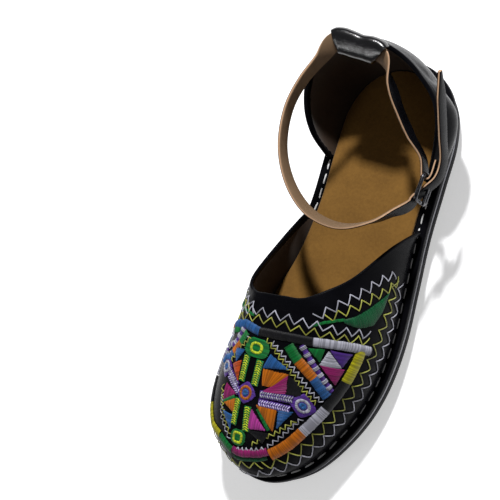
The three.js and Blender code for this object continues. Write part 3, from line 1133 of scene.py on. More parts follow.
@dataclass
class LeatherShell:
    """Wall of leather over a skin, with a rolled top edge and a lining inside."""

    chart: Chart
    creases: tuple[Crease, ...] = ()
    stations: int = 220
    risers: int = 84
    inner_band: float = 5.0
    rim_band: float = 5.5
    rim_proud: float = 0.0
    rim_soft: float = 0.5
    lining_pull: float = 0.4
    least_rise: float = 0.5
    foot_drop: float = 0.0
    bends: int = 5

    def build(self) -> Shape:
        """Builds the closed shell: finish 0 outside and over the edge, finish 1 on the lining.

        Returns:
            The shell.
        """
        across = np.linspace(0.0, 1.0, self.stations + 1)
        columns, arc = self.chart.columns(across)
        wall = self.chart.wall
        reach = np.linspace(0.0, 1.0, self.risers + 1)[None, :] * (arc[:, -1:] - wall / 2.0)
        lining = np.stack([Chart.read(columns, arc, reach[:, j]) for j in range(self.risers + 1)], axis=1)
        normal = outward_of(lining)
        depth = arc[:, -1:] - reach
        outer = lining + normal * wall
        floor = lining[:, :1, 2] + self.least_rise * (lining[..., 2] - lining[:, :1, 2])
        outer[..., 2] = np.maximum(outer[..., 2], floor)
        edge = ease(self.rim_band - self.rim_soft, self.rim_band + self.rim_soft, depth)
        band = self.rim_proud * (1.0 - edge)
        folds = (crease.relief(self.chart, outer) for crease in self.creases)
        relief = band + sum(folds, np.zeros(depth.shape))
        outer = outer + normal * relief[..., None]
        lining = lining - normal * self.lining_pull * band[..., None]
        outer[:, 0, 2] = lining[:, 0, 2] - self.foot_drop
        lining[:, 0, 2] -= self.foot_drop
        return self.close(outer, lining, normal[:, -1], depth)

    def close(self, outer: np.ndarray, lining: np.ndarray, normal: np.ndarray, depth: np.ndarray) -> Shape:
        """Joins the two faces over the top edge, along the foot and at the ends.

        Args:
            outer: Outer points, stations by risers.
            lining: Lining points in the same layout.
            normal: Outward direction at the top of every station.
            depth: Distance below the top edge, in the same layout as the points.

        Returns:
            The closed shell.
        """
        shape = Shape()
        up = unit(outer[:, -1] - outer[:, -2])
        centre = (outer[:, -1] + lining[:, -1]) / 2.0
        half = np.linalg.norm(outer[:, -1] - lining[:, -1], axis=-1)[:, None, None] / 2.0
        angle = np.linspace(0.0, np.pi, self.bends + 2)[1:-1]
        arch = np.cos(angle)[:, None] * normal[:, None] + np.sin(angle)[:, None] * up[:, None]
        roll = centre[:, None] + half * arch
        ring = np.concatenate([outer, roll, lining[:, ::-1]], axis=1)
        numbers = shape.add(ring)
        count = ring.shape[1]
        marks = np.zeros((len(ring) - 1, count), int)
        first = self.risers + self.bends + 1
        inside = (depth[:-1, ::-1][:, :-1] > self.inner_band).astype(int)
        marks[:, first:first + self.risers] = inside
        shape.skin(numbers, marks, wrap=True)
        for end in (numbers[0], numbers[-1]):
            face = end[:self.risers + 1]
            back = end[::-1][:self.risers + 1]
            shape.polygons(np.stack([face[:-1], face[1:], back[1:], back[:-1]], -1))
            tip = end[self.risers:first + 1]
            shape.polygons(tip[None, :])
        return shape


VAMP_SKIN = VampSkin()
COUNTER_SKIN = CounterSkin()


@dataclass
class Vamp(SubAssembly):
    """Closed toe with its wings: plain folded band at the top edge, soft wrinkles at the throat."""

    chart: Chart
    creases: tuple[Crease, ...] = (
        Crease(((0.30, 9.5), (0.42, 9.0), (0.55, 9.0), (0.70, 8.5)), 0.9, -0.35),
        Crease(((0.55, 3.5), (0.62, 3.0), (0.72, 3.6)), 1.1, -0.3),
        Crease(((0.53, 6.2), (0.61, 5.8), (0.69, 6.4)), 1.1, -0.35),
        Crease(((0.57, 4.8), (0.64, 4.5), (0.71, 5.1)), 1.2, 0.3),
        Crease(((0.36, 5.2), (0.42, 4.6), (0.47, 5.4)), 1.5, -0.25),
        Crease(((0.74, 6.0), (0.79, 12.0), (0.83, 14.0)), 2.2, -0.5),
        Crease(((0.27, 7.0), (0.22, 12.0), (0.17, 15.0)), 2.4, -0.4),
    )

    def dress(self) -> list[Piece]:
        """Builds the vamp and gives it its leather and lining."""
        shell = LeatherShell(self.chart, self.creases, foot_drop=0.4)
        return [Piece("vamp_shell", shell.build(), [BLACK_LEATHER, LINING_WITH_PAINTED_SHADE], "black_leather", "vamp", 60.0)]


@dataclass
class HeelCounter(SubAssembly):
    """Back of the upper with a bound rim."""

    chart: Chart
    creases: tuple[Crease, ...] = (
        Crease(((0.30, 16.0), (0.34, 24.0), (0.37, 30.0)), 3.5, -0.5),
        Crease(((0.66, 14.0), (0.70, 22.0), (0.72, 27.0)), 3.5, -0.6),
        Crease(((0.46, 12.0), (0.50, 15.0), (0.55, 12.5)), 3.0, -0.4),
    )

    def dress(self) -> list[Piece]:
        """Builds the counter and gives it its leather and lining.

        Returns:
            The piece.
        """
        shell = LeatherShell(self.chart, self.creases, stations=180, risers=64, inner_band=5.5,
                             rim_proud=0.35, foot_drop=0.4)
        return [Piece("counter_shell", shell.build(), [BLACK_LEATHER, LINING_WITH_PAINTED_SHADE], "black_leather",
                      "heel_counter", 60.0)]


@dataclass(frozen=True)
class Frames:
    """Places along a strap with its thickness and width directions there."""

    at: np.ndarray
    side: np.ndarray
    up: np.ndarray

    def part(self, keep: np.ndarray) -> "Frames":
        """Only the frames marked to keep."""
        return Frames(self.at[keep], self.side[keep], self.up[keep])

    def rings(self, section: np.ndarray) -> np.ndarray:
        """Rings of a section, one for all frames or one for each, as (along side, along up).

        Args:
            section: The section, or a section for each frame.

        Returns:
            Points, frames by section points.
        """
        section = np.broadcast_to(section, (len(self.at), *section.shape[-2:]))
        return (self.at[:, None] + section[..., :1] * self.side[:, None]
                + section[..., 1:] * self.up[:, None])


def curve_through(points: np.ndarray, where: np.ndarray) -> np.ndarray:
    """Centripetal curve through points.

    Args:
        points: The points.
        where: Places in point numbers.

    Returns:
        Points of the curve.
    """
    ends = np.concatenate([[2.0 * points[0] - points[1]], points, [2.0 * points[-1] - points[-2]]])
    i = np.clip(np.floor(where).astype(int), 0, len(points) - 2)
    k = (where - i)[:, None]
    p0, p1, p2, p3 = (ends[i + n] for n in range(4))
    d0, d1, d2 = (np.sqrt(np.linalg.norm(b - a, axis=1))[:, None] for a, b in ((p0, p1), (p1, p2), (p2, p3)))
    leave = ((p1 - p0) / d0 - (p2 - p0) / (d0 + d1) + (p2 - p1) / d1) * d1
    reach = ((p2 - p1) / d1 - (p3 - p1) / (d1 + d2) + (p3 - p2) / d2) * d1
    rest = 1.0 - k
    held = (1.0 + 2.0 * k) * rest**2 * p1 + k**2 * (3.0 - 2.0 * k) * p2
    return held + k * rest * (rest * leave - k * reach)


def upright_frames(points: np.ndarray, tilts: np.ndarray, steps: int) -> Frames:
    """Frames along a curve, leaning by the given tilts.

    Args:
        points: Points that the curve passes through.
        tilts: Lean of the upper edge at each point, in degrees.
        steps: Frames from one point to the next.

    Returns:
        The frames.
    """
    nudge = 2e-3
    last = len(points) - 1
    where = np.linspace(0.0, last, steps * last + 1)
    ahead = curve_through(points, np.minimum(where + nudge, last))
    along = unit(ahead - curve_through(points, np.maximum(where - nudge, 0.0)))
    level = unit(np.cross(along, np.array([0.0, 0.0, 1.0])))
    upright = np.cross(level, along)
    lean = np.radians(SmoothTable(np.arange(last + 1.0), tilts[:, None]).at(where))
    up = np.cos(lean) * upright + np.sin(lean) * level
    return Frames(curve_through(points, where), np.cross(up, along), up)


def soft_rectangle(half_thick: float, half_wide: float, corner: float, bends: int = 3) -> np.ndarray:
    """Rectangle with rounded corners, from its lower corner on the thick side round to the start.

    Args:
        half_thick: Half its size along the first axis.
        half_wide: Half its size along the second axis.
        corner: Radius of its corners.
        bends: Steps round each corner.

    Returns:
        Points of the outline, going round.
    """
    angle = np.linspace(0.0, np.pi / 2.0, bends + 1)
    round_off = corner * np.stack([np.cos(angle), np.sin(angle)], -1)
    centre = np.array([half_thick - corner, half_wide - corner])
    quarters = []
    for turn in range(4):
        c, s = (1, 0, -1, 0)[turn], (0, 1, 0, -1)[turn]
        spin = np.array([[c, -s], [s, c]])
        sign = np.array([(1, 1), (-1, 1), (-1, -1), (1, -1)][turn])
        quarters.append(sign * centre + round_off @ spin.T)
    return np.concatenate(quarters)


@dataclass
class AnkleStrap(SubAssembly):
    """Strap from its fold at the buckle's bar, through the heel loop and round the ankle to its free end."""

    width: float = 10.0
    thickness: float = 1.8
    corner: float = 0.5
    steps: int = 10
    tip_length: float = 14.0
    tip_width: float = 0.25
    loop_centre: float = -4.0
    loop_half: float = 13.5
    loop_wall: float = 1.9
    loop_crown: float = 1.0
    loop_power: float = 0.77
    loop_play: float = 0.4
    loop_reach: float = 30.0
    loop_pinch: float = 0.05
    loop_wave: float = 0.015
    loop_rim: float = 0.06
    loop_rim_from: float = 0.9
    loop_waves: float = 9.0
    loop_bends: int = 9
    loop_inner_bends: int = 8
    face_from: float = 0.2
    route: tuple[tuple[float, float, float, float], ...] = (
        (48.2, 56.5, 57.5, 0), (48.2, 65.5, 57, 0), (47.41, 67.41, 57, 0), (45.5, 68.2, 57, 0),
        (43.59, 67.41, 57, 0), (42.8, 65.5, 57, 0), (40, 57.5, 60, 0), (32, 48.5, 68, -10),
        (24.5, 38.5, 76, -8), (17.8, 27.5, 83.5, -6), (9.5, 15, 90, 56), (-4, 14, 91, 62),
        (-17.5, 14.5, 91.5, 62), (-23.5, 25.5, 89, 13), (-30, 39, 87, 2), (-33, 55, 86, 0),
        (-30, 74, 85, 2), (-23, 88, 84, 8), (-11.5, 100, 84, 16), (1, 107, 83, 22), (17, 108, 80, 24),
        (30.8, 100, 74.5, 18), (37.9, 90.3, 66.5, 8), (41.2, 83.5, 58.2, 0), (42.6, 78.5, 57, 0),
        (47.1, 72, 57, 0), (50.8, 65.5, 57, 0), (51.2, 56.5, 58.5, 0), (49.2, 44.5, 66.5, 0),
        (47.5, 32, 77, 0), (45, 15, 91, 0),
    )
    fold_rows: int = 6
    tail_row: int = 24

    def frames(self) -> Frames:
        """Frames along the whole strap."""
        rows = np.array(self.route, float)
        return upright_frames(LAST.place(rows[:, 0], rows[:, 1], rows[:, 2]), rows[:, 3], self.steps)

    def build_strap(self) -> Shape:
        """Strap: finish 0 on the outer face, 1 on the face to the foot, 2 on the cut edges.

        Returns:
            The strap.
        """
        frames = self.frames()
        count = len(frames.at)
        to_tip = np.linalg.norm(frames.at - frames.at[-1], axis=1)
        to_tip[:count // 2] = LAST.length
        grown = self.tip_width + (1.0 - self.tip_width) * to_tip / self.tip_length
        taper = np.clip(grown, self.tip_width, 1.0)
        section = soft_rectangle(self.thickness / 2.0, self.width / 2.0, self.corner)
        sections = np.stack([section * np.array([1.0, k]) for k in taper])
        middle = (section + np.roll(section, -1, axis=0)) / 2.0
        face = np.where(middle[:, 0] > self.face_from, 1, 2)
        face[middle[:, 0] < -self.face_from] = 0
        marks = np.tile(face, (count - 1, 1))
        row = np.arange(count - 1) / self.steps
        ends = (row < self.fold_rows) | (row > self.tail_row)
        marks[ends[:, None] & (marks == 1)] = 0
        shape = Shape()
        shape.sweep(frames.rings(sections), marks, end_mark=2)
        return shape

    def build_loop(self) -> Shape:
        """Folded sleeve at the top of the counter that the strap runs through.

        Returns:
            The sleeve.
        """
        frames = self.frames()
        heelward = LAST.length / 2.0 - frames.at[:, 1] < self.loop_reach
        across = np.abs(frames.at[:, 0] - self.loop_centre)
        held = frames.part(heelward & (across <= self.loop_half + 1e-6))
        thick = self.thickness / 2.0 + self.loop_play
        tall = self.width / 2.0 + self.loop_play
        quarter = np.radians(np.linspace(5.0, 85.0, self.loop_bends))
        angle = (quarter[None, :] + np.pi / 2.0 * np.arange(4)[:, None]).ravel()
        round_off = np.stack([np.cos(angle), np.sin(angle)], -1)
        outside = np.sign(round_off) * np.abs(round_off) ** self.loop_power
        outside = outside * np.array([thick + self.loop_wall + self.loop_crown, tall + self.loop_wall])
        inside = soft_rectangle(thick, tall, self.corner, self.loop_inner_bends)
        along = np.linspace(-1.0, 1.0, len(held.at))
        wave = self.loop_wave * np.sin(self.loop_waves * along)
        pinch = 1.0 - self.loop_pinch * np.cos(np.pi * along) + wave
        rims = 1.0 - self.loop_rim * ease(self.loop_rim_from, 1.0, np.abs(along))
        outer = held.rings(outside[None] * (np.minimum(pinch, 1.0) * rims)[:, None, None])
        inner = held.rings(inside)
        shape = Shape()
        a = shape.add(outer)
        b = shape.add(inner)
        for rings in (a, b, np.stack([a[0], b[0]]), np.stack([a[-1], b[-1]])):
            shape.skin(rings, wrap=True)
        return shape

    def dress(self) -> list[Piece]:
        """Builds strap and loop and gives each its leather.

        Returns:
            The pieces.
        """
        return [
            Piece("strap_band", self.build_strap(), [BLACK_LEATHER, STRAP_BACK, CUT_EDGE],
                  "black_leather", "ankle_strap", 50.0),
            Piece("loop_sleeve", self.build_loop(), [GLOSSY_LEATHER], "black_leather", "heel_loop", 50.0),
        ]


@dataclass
class Buckle(SubAssembly):
    """Wire frame and its prong, fastened."""

    x: float = 45.5
    z: float = 57.0
    bar_t: float = 65.5
    front_t: float = 80.5
    half_height: float = 7.8
    corner: float = 2.5
    wire: float = 1.1
    prong: float = 0.8
    bends: int = 9
    prong_steps: int = 10
    prong_route: Path = ((45.9, 69.7), (47.3, 71.5), (47.7, 77.5), (47.7, 81.9))

    @staticmethod
    def circle(radius: float, sides: int = 14) -> np.ndarray:
        """Round section."""
        angle = np.linspace(0.0, 2.0 * np.pi, sides, endpoint=False)
        return radius * np.stack([np.cos(angle), np.sin(angle)], -1)

    def build_frame(self) -> Shape:
        """Rounded oblong of wire.

        Returns:
            The frame.
        """
        middle = (self.bar_t + self.front_t) / 2.0
        long = (self.front_t - self.bar_t) / 2.0 - self.corner
        tall = self.half_height - self.corner
        places, radials = [], []
        for corner, (a, u) in enumerate(((1, 1), (-1, 1), (-1, -1), (1, -1))):
            for angle in np.pi / 2.0 * (corner + np.linspace(0.0, 1.0, self.bends)):
                radial = np.array([0.0, -math.cos(angle), math.sin(angle)])
                centre = LAST.place(self.x, middle + a * long, self.z + u * tall)
                places.append(centre + radial * self.corner)
                radials.append(radial)
        side = np.tile(np.array([-1.0, 0.0, 0.0]), (len(places), 1))
        shape = Shape()
        frames = Frames(np.array(places), side, np.array(radials))
        shape.sweep(frames.rings(self.circle(self.wire)), closed=True)
        return shape

    def build_prong(self) -> Shape:
        """Pin from in front of the strap's fold, through the strap to the frame's front, its tip rounded.

        Returns:
            The pin.
        """
        rows = np.array(self.prong_route, float)
        route = LAST.place(rows[:, 0], rows[:, 1], self.z)
        frames = upright_frames(route, np.zeros(len(rows)), self.prong_steps)
        to_end = np.linalg.norm(frames.at - frames.at[-1], axis=1) / self.prong
        size = np.sqrt(np.clip(1.0 - (1.0 - np.minimum(to_end, 1.0)) ** 2, 0.05, 1.0))
        shape = Shape()
        shape.sweep(frames.rings(self.circle(self.prong)[None] * size[:, None, None]))
        return shape

    def dress(self) -> list[Piece]:
        """Builds frame and prong in plated wire.

        Returns:
            The pieces.
        """
        return [
            Piece("buckle_wire_frame", self.build_frame(), [BUCKLE_WIRE], "buckle_wire", "buckle_frame"),
            Piece("buckle_pin", self.build_prong(), [BUCKLE_WIRE], "buckle_wire", "buckle_prong"),
        ]


class Needle:
    """Lays threads on the vamp and gathers them into one shape, two shades to a colour."""

    flat_section = np.array([(-0.5, -0.2), (0.5, -0.2), (0.42, 0.5), (0.0, 0.85), (-0.42, 0.5)])
    round_section = np.array([(math.cos(a), math.sin(a)) for a in np.arange(6) * math.pi / 3.0])
    first_shade = 1.04
    shade_step = 0.2
    satin_points = 7
    satin_sway = 0.05
    satin_loose = 0.035
    satin_wide = 1.25
    satin_tall = 0.45
    full_length = 4.0
    bar_points = 12
    leg_crown = np.array([0.1, 0.85, 1.0, 1.0, 0.85, 0.1])
    leg_over = 0.02
    leg_sway = 0.06
    leg_sink = 0.1
    leg_flat = 0.8
    row_sway = 0.1
    row_height = 0.6
    chain_lean = 0.9
    chain_height = 0.95
    ring_radius = 0.3

    def __init__(self, chart: Chart, seed: int) -> None:
        """Threads a needle for one group of stitches.

        Args:
            chart: Chart of the leather.
            seed: Number of the group.
        """
        self.chart = chart
        self.rng = np.random.default_rng(SEED + seed)
        self.shape = Shape()
        self.order: dict[tuple[Dye, int], int] = {}

    def mark(self, dye: Dye) -> int:
        """Finish number of a colour, in one of its two shades."""
        key = (dye, int(self.rng.integers(2)))
        return self.order.setdefault(key, len(self.order))

    def finishes(self) -> list[Finish]:
        """Thread finishes in the order of their numbers.

        Returns:
            The finishes.
        """
        made: list[Finish] = []
        for dye, shade in self.order:
            tint = tuple(round(c * (self.first_shade - self.shade_step * shade)) for c in dye.value)
            made.append(Thread(f"thread_{dye.name.lower()}_{shade}", tint))
        return made

    def strands(self, centre: np.ndarray, normal: np.ndarray, section: np.ndarray, dye: Dye) -> None:
        """Adds closed strands.

        Args:
            centre: Strands by points by coordinates.
            normal: Outward direction at every point.
            section: Section as (across, outwards), in millimetres.
            dye: Colour of the thread.
        """
        along = unit(np.gradient(centre, axis=1))
        side = unit(np.cross(normal, along))
        lift = np.cross(along, side)
        rings = centre[:, :, None] + section[:, :1] * side[:, :, None] + section[:, 1:] * lift[:, :, None]
        for ring in rings:
            mark = self.mark(dye)
            self.shape.sweep(ring, mark, end_mark=mark)

    def satin(self, first: np.ndarray, second: np.ndarray, dye: Dye, arch: float = 0.7,
              pitch: float = 0.5, base: float = 0.12) -> None:
        """Fills between two lines with strands that lie side by side.

        Args:
            first: Line that the strands start from.
            second: Line that they run to.
            dye: Colour of the thread.
            arch: Rise of the padding in the middle, in millimetres.
            pitch: Distance from strand to strand.
            base: Rise of the ends.
        """
        longest = max(arc_of(first)[-1], arc_of(second)[-1])
        count = max(round(longest / pitch), 2)
        a = even(first, count)
        b = even(second, count)
        k = np.linspace(0.0, 1.0, self.satin_points)[None, :, None]
        sway = self.rng.normal(0.0, self.satin_sway, (count, 1, 1))
        share = np.clip(k + sway * k * (1.0 - k) + sway * 0.3, -0.03, 1.03)
        line = a[:, None] + (b - a)[:, None] * share
        place, normal = self.chart.cling(line)
        length = np.linalg.norm(b - a, axis=1)[:, None, None]
        crown = np.sqrt(np.clip(1.0 - (2.0 * k - 1.0) ** 2, 0.0, 1.0))
        height = base + arch * crown * np.clip(length / self.full_length, 0.3, 1.0)
        height = height + self.rng.normal(0.0, self.satin_loose, (count, 1, 1))
        wide = np.array([pitch * self.satin_wide, self.satin_tall])
        self.strands(place + normal * height, normal, self.flat_section * wide, dye)

    def bar(self, line: np.ndarray, width: float, dye: Dye, arch: float = 0.9, pitch: float = 0.5) -> None:
        """Lays padded satin of even width along a line.

        Args:
            line: Middle of the bar.
            width: Its width.
            dye: Colour of the thread.
            arch: Rise of the padding.
            pitch: Distance from strand to strand.
        """
        dense = even(line, max(len(line), self.bar_points))
        along = unit(np.gradient(dense, axis=0))
        _, normal = self.chart.cling(dense)
        side = unit(np.cross(normal, along)) * width / 2.0
        self.satin(dense - side, dense + side, dye, arch, pitch)

    def legs(self, starts: np.ndarray, ends: np.ndarray, radius: float, dye: Dye, height: float) -> None:
        """Lays straight stitches that dip into the leather at both ends.

        Args:
            starts: Where each stitch starts.
            ends: Where it ends.
            radius: Half the thread's width.
            dye: Colour of the thread.
            height: How high the stitches lie.
        """
        k = np.linspace(-self.leg_over, 1.0 + self.leg_over, len(self.leg_crown))[None, :, None]
        place, normal = self.chart.cling(starts[:, None] + (ends - starts)[:, None] * k)
        crown = self.leg_crown[None, :, None]
        sway = self.rng.normal(0.0, self.leg_sway, (len(starts), 1, 1))
        centre = place + normal * (height * crown + sway - self.leg_sink)
        section = self.round_section * np.array([radius, radius * self.leg_flat])
        self.strands(centre, normal, section, dye)

    def zigzag(self, line: np.ndarray, pitch: float, swing: float, dye: Dye, radius: float = 0.5) -> None:
        """Lays a zigzag row along a line.

        Args:
            line: Middle of the row.
            pitch: Distance from peak to peak.
            swing: Distance from peaks to troughs.
            dye: Colour of the thread.
            radius: Half the thread's width.
        """
        count = max(round(arc_of(line)[-1] / pitch * 2.0), 2) + 1
        middle = even(line, count)
        middle = middle + self.rng.normal(0.0, self.row_sway, middle.shape)
        place, normal = self.chart.cling(middle)
        side = unit(np.cross(normal, unit(np.gradient(place, axis=0))))
        sign = np.where(np.arange(count) % 2 == 0, 0.5, -0.5)[:, None]
        corners = place + side * sign * swing
        self.legs(corners[:-1], corners[1:], radius, dye, self.row_height)

    def chain(self, line: np.ndarray, width: float, pitch: float, dye: Dye, radius: float = 0.34) -> None:
        """Lays a row of pointed stitches, two to a point.

        Args:
            line: Middle of the row.
            width: Its width.
            pitch: Distance from point to point.
            dye: Colour of the thread.
            radius: Half the thread's width.
        """
        count = max(round(arc_of(line)[-1] / pitch), 2) + 1
        place, normal = self.chart.cling(even(line, count))
        along = unit(np.gradient(place, axis=0))
        side = np.cross(normal, along) * width / 2.0
        for sign in (-1.0, 1.0):
            ends = place[:-1] + along[:-1] * pitch * self.chain_lean + sign * side[:-1]
            self.legs(place[:-1], ends, radius, dye, self.chain_height)

    def ring(self, lay: Lay, inner: float, outer: np.ndarray, dye: Dye, turns: int = 40,
             height: float = 1.0) -> None:
        """Lays stitches that stand round a centre.

        Args:
            lay: Puts offsets from the centre on the leather.
            inner: Share of the outer outline where the stitches start.
            outer: Outer outline in plan, as offsets (x, t), going round.
            dye: Colour of the thread.
            turns: How many stitches there are.
            height: How high they lie.
        """
        closed = np.concatenate([outer, outer[:1]])
        rim = even(closed, turns + 1)[:-1]
        self.legs(lay(rim * inner), lay(rim), self.ring_radius, dye, height)

    def patch(self, corners: Path, dye: Dye, arch: float = 0.5) -> None:
        """Fills a triangle or four-sided patch given in plan; strands run from its first edge to the last.

        Args:
            corners: Its corners (x, t), going round.
            dye: Colour of the thread.
            arch: Rise of the padding.
        """
        points = list(corners)
        if len(points) == 3:
            first, second = (points[0], points[1]), (points[0], points[2])
        else:
            first, second = (points[0], points[1]), (points[3], points[2])
        self.satin(self.chart.from_plan(first), self.chart.from_plan(second), dye, arch)


def outline_of(half_x: float, half_t: float, power: float, count: int = 48) -> np.ndarray:
    """Closed outline round a centre: power 2 is an ellipse, 1 a diamond, 4 nearly an oblong.

    Args:
        half_x: Half its size across.
        half_t: Half its size along the foot.
        power: How full its corners are.
        count: How many points it has.

    Returns:
        Offsets (x, t) from the centre, going round.
    """
    angle = np.linspace(0.0, 2.0 * np.pi, count, endpoint=False)
    c, s = np.cos(angle), np.sin(angle)
    size = (np.abs(c) ** power + np.abs(s) ** power) ** (-1.0 / power)
    return np.stack([half_x * c * size, half_t * s * size], -1)


@dataclass(frozen=True)
class Row:
    """A row of stitches: its line, its pitch, its swing and its colour."""

    line: Path
    pitch: float
    swing: float
    dye: Dye
    radius: float = 0.35

    def sew(self, needle: Needle, line: np.ndarray) -> None:
        """Lays the row as a zigzag along its line on the leather."""
        needle.zigzag(line, self.pitch, self.swing, self.dye, self.radius)


@dataclass(frozen=True)
class Rosette:
    """A knot of satin with a ring on it; pad and rim are half sizes across and along, and fullness."""

    centre: tuple[float, float]
    pad: tuple[float, float, float]
    pad_dye: Dye
    rim: tuple[float, float, float]
    rim_dye: Dye
    eye: Dye | None = None
    level: bool = True


@dataclass
class Embroidery(SubAssembly):
    """Stitched pattern of the vamp. Plan lines are (x, t); edge lines are (across, height or depth)."""

    chart: Chart
    axis: float = -11.5
    narrowing: float = 0.52
    top_width: float = 4.6
    fine_pitch: float = 3.6
    fine_swing: float = 2.4
    fine_radius: float = 0.3
    chain_ground: float = 4.2
    chain_width: float = 3.4
    chain_pitch: float = 1.3
    corner_width: float = 5.4
    inner_corner_width: float = 3.6
    inner_corner_patches: int = 2
    toe_row: Row = Row(((0.455, 31.0), (0.50, 30.3), (0.545, 26.2)), 3.0, 2.6, Dye.WHITE, 0.36)
    toe_band: Path = ((0.45, 25.0), (0.50, 24.4), (0.55, 20.0))
    toe_band_width: float = 2.2
    stem_width: float = 1.3

    top_bars: tuple[tuple[Dye, Path], ...] = (
        (Dye.ORANGE, ((-37, 176), (-31.2, 174))),
        (Dye.BLUE, ((-30.8, 174), (-24.4, 172.2), (-12.6, 174.3))),
        (Dye.BLACK, ((-12, 174.3), (3, 172.6), (18, 170.4))),
        (Dye.WHITE, ((18.6, 170.2), (30, 167.4), (40.9, 164))),
    )
    edge_bars: tuple[tuple[Dye, float, Path], ...] = (
        (Dye.YELLOW, 6.6, ((0.180, 28.4), (0.229, 26.8))),
        (Dye.BLACK, 6.6, ((0.231, 26.8), (0.285, 25.9))),
        (Dye.WHITE, 6.8, ((0.287, 25.9), (0.351, 27.4))),
        (Dye.ORANGE, 6.8, ((0.353, 27.4), (0.4385, 26.2))),
        (Dye.MAGENTA, 4.3, ((0.447, 28.8), (0.50, 28.1), (0.555, 23.6))),
        (Dye.GREEN, 4.6, ((0.562, 22.0), (0.61, 18.4))),
        (Dye.YELLOW, 4.8, ((0.614, 18.2), (0.68, 17.5))),
        (Dye.BLACK, 4.8, ((0.684, 17.5), (0.735, 17.5))),
        (Dye.WHITE, 4.8, ((0.739, 17.5), (0.786, 17.5))),
        (Dye.BLUE, 4.6, ((0.790, 17.5), (0.83, 17.5))),
    )
    throat_rows: tuple[Row, ...] = (
        Row(((-37, 170), (-33, 166), (-23.8, 164.3), (9.3, 162.7), (29.6, 160), (39.6, 156.1)),
            8.2, 4.6, Dye.WHITE),
        Row(((-38, 173), (-32, 169.6), (-24, 168.2), (10.4, 166.7), (30.4, 163.5), (40, 159.8)),
            8.2, 4.6, Dye.OLIVE),
    )
    wing_rows: tuple[Row, ...] = (
        Row(((0.245, 11.8), (0.198, 10.3), (0.155, 9.9), (0.12, 10.8), (0.09, 12.9), (0.072, 16.7),
             (0.063, 21)), 7.8, 4.8, Dye.WHITE),
        Row(((0.215, 13.9), (0.162, 14.9), (0.132, 16.3), (0.103, 18.7), (0.078, 24.6), (0.066, 27)),
            7.8, 4.8, Dye.OLIVE),
    )
    edge_rows: tuple[Row, ...] = (
        Row(((0.068, 14), (0.09, 14), (0.118, 16), (0.148, 17), (0.184, 17.5), (0.226, 17.5), (0.335, 17.5),
             (0.40, 19), (0.464, 20.5)), 8.5, 6.6, Dye.OLIVE),
        Row(((0.464, 20.5), (0.50, 20.5), (0.55, 16), (0.60, 12), (0.66, 10.7), (0.9, 10.7), (0.94, 9)),
            8.0, 5.0, Dye.OLIVE),
        Row(((0.065, 6), (0.143, 6), (0.181, 8), (0.22, 9), (0.335, 9.5), (0.40, 12), (0.455, 13.5)),
            8.5, 6.8, Dye.WHITE),
        Row(((0.455, 13.5), (0.50, 13), (0.55, 9), (0.60, 6), (0.66, 4.8), (0.935, 4.8)),
            8.0, 5.0, Dye.WHITE),
    )
    diamond_rows: tuple[tuple[Dye, Path], ...] = (
        (Dye.WHITE, ((-3, 177.5), (5.1, 182.6), (14.5, 189.2), (22, 195.3), (27.6, 198.8))),
        (Dye.OLIVE, ((-6.8, 177), (1.9, 182.9), (12.6, 190.7), (20.4, 197.5), (25.4, 200.6))),
        (Dye.WHITE, ((20.8, 210.6), (13.9, 222.1), (6.7, 231.6))),
        (Dye.OLIVE, ((17.9, 212.9), (11, 221.7), (-1.9, 233))),
        (Dye.WHITE, ((-20, 178), (-26, 184), (-31.2, 190.2))),
        (Dye.OLIVE, ((-17, 178.5), (-24, 186), (-29, 193))),
        (Dye.WHITE, ((-29.4, 212), (-29, 213), (-26, 224), (-20, 231), (-17.5, 234))),
        (Dye.OLIVE, ((-31, 207), (-27.5, 217), (-23, 225), (-17, 231.5))),
    )
    chains: tuple[tuple[Dye, Dye, Path], ...] = (
        (Dye.LIME, Dye.GREEN, ((-16.4, 188.3), (-16.4, 202))),
        (Dye.LIME, Dye.GREEN, ((-7.4, 189), (-7.4, 202.3))),
        (Dye.LIME, Dye.GREEN, ((-15.7, 211.8), (-15.7, 225.5))),
        (Dye.LIME, Dye.GREEN, ((-8.2, 214.4), (-6.7, 227))),
        (Dye.WHITE, Dye.PURPLE, ((-2.5, 205.8), (14.9, 202.8))),
        (Dye.LILAC, Dye.PURPLE, ((-2.2, 210.3), (14.3, 208.3))),
        (Dye.WHITE, Dye.PURPLE, ((-18.6, 205.4), (-28.6, 197.9))),
        (Dye.LILAC, Dye.PURPLE, ((-16.4, 208.6), (-26.4, 201.1))),
    )
    patches: tuple[tuple[Dye, Path], ...] = (
        (Dye.BLUE, ((9.5, 188.5), (-2, 184), (-4.5, 192))),
        (Dye.ORANGE, ((-4, 192.5), (10, 191), (3, 200), (-2.5, 201))),
        (Dye.MAGENTA, ((9.8, 191.7), (10.8, 201), (-1.7, 204), (3.1, 200))),
        (Dye.BLACK, ((10.5, 191.2), (17, 194.5), (18, 200), (11.3, 201.5))),
        (Dye.PINK, ((4.5, 223.3), (-5.4, 215), (-5.2, 225.3))),
        (Dye.ORANGE, ((-3.5, 212), (8, 210.6), (8.2, 222.4))),
        (Dye.BLUE, ((10, 220.2), (9, 210.7), (16.2, 209.2))),
        (Dye.BLACK, ((-5.3, 226.3), (6.2, 224.2), (3.9, 230.3))),
        (Dye.MAGENTA, ((-18, 209.6), (-27.1, 205.8), (-26.8, 215))),
        (Dye.ORANGE, ((-25.8, 216.1), (-18.2, 212.4), (-15.9, 220.3))),
        (Dye.BLUE, ((-17.7, 228.7), (-25.7, 220.3), (-17.3, 221.4))),
        (Dye.BLUE, ((-24, 193), (-28, 186), (-19.5, 186))),
        (Dye.RUST, ((-19, 203), (-26, 195), (-20, 192))),
    )
    slips: tuple[tuple[Dye, float, Path], ...] = (
        (Dye.GREEN, 1.6, ((-2, 214), (6, 222.5))),
        (Dye.GREEN, 1.6, ((-26.5, 215.4), (-19, 211.5))),
    )
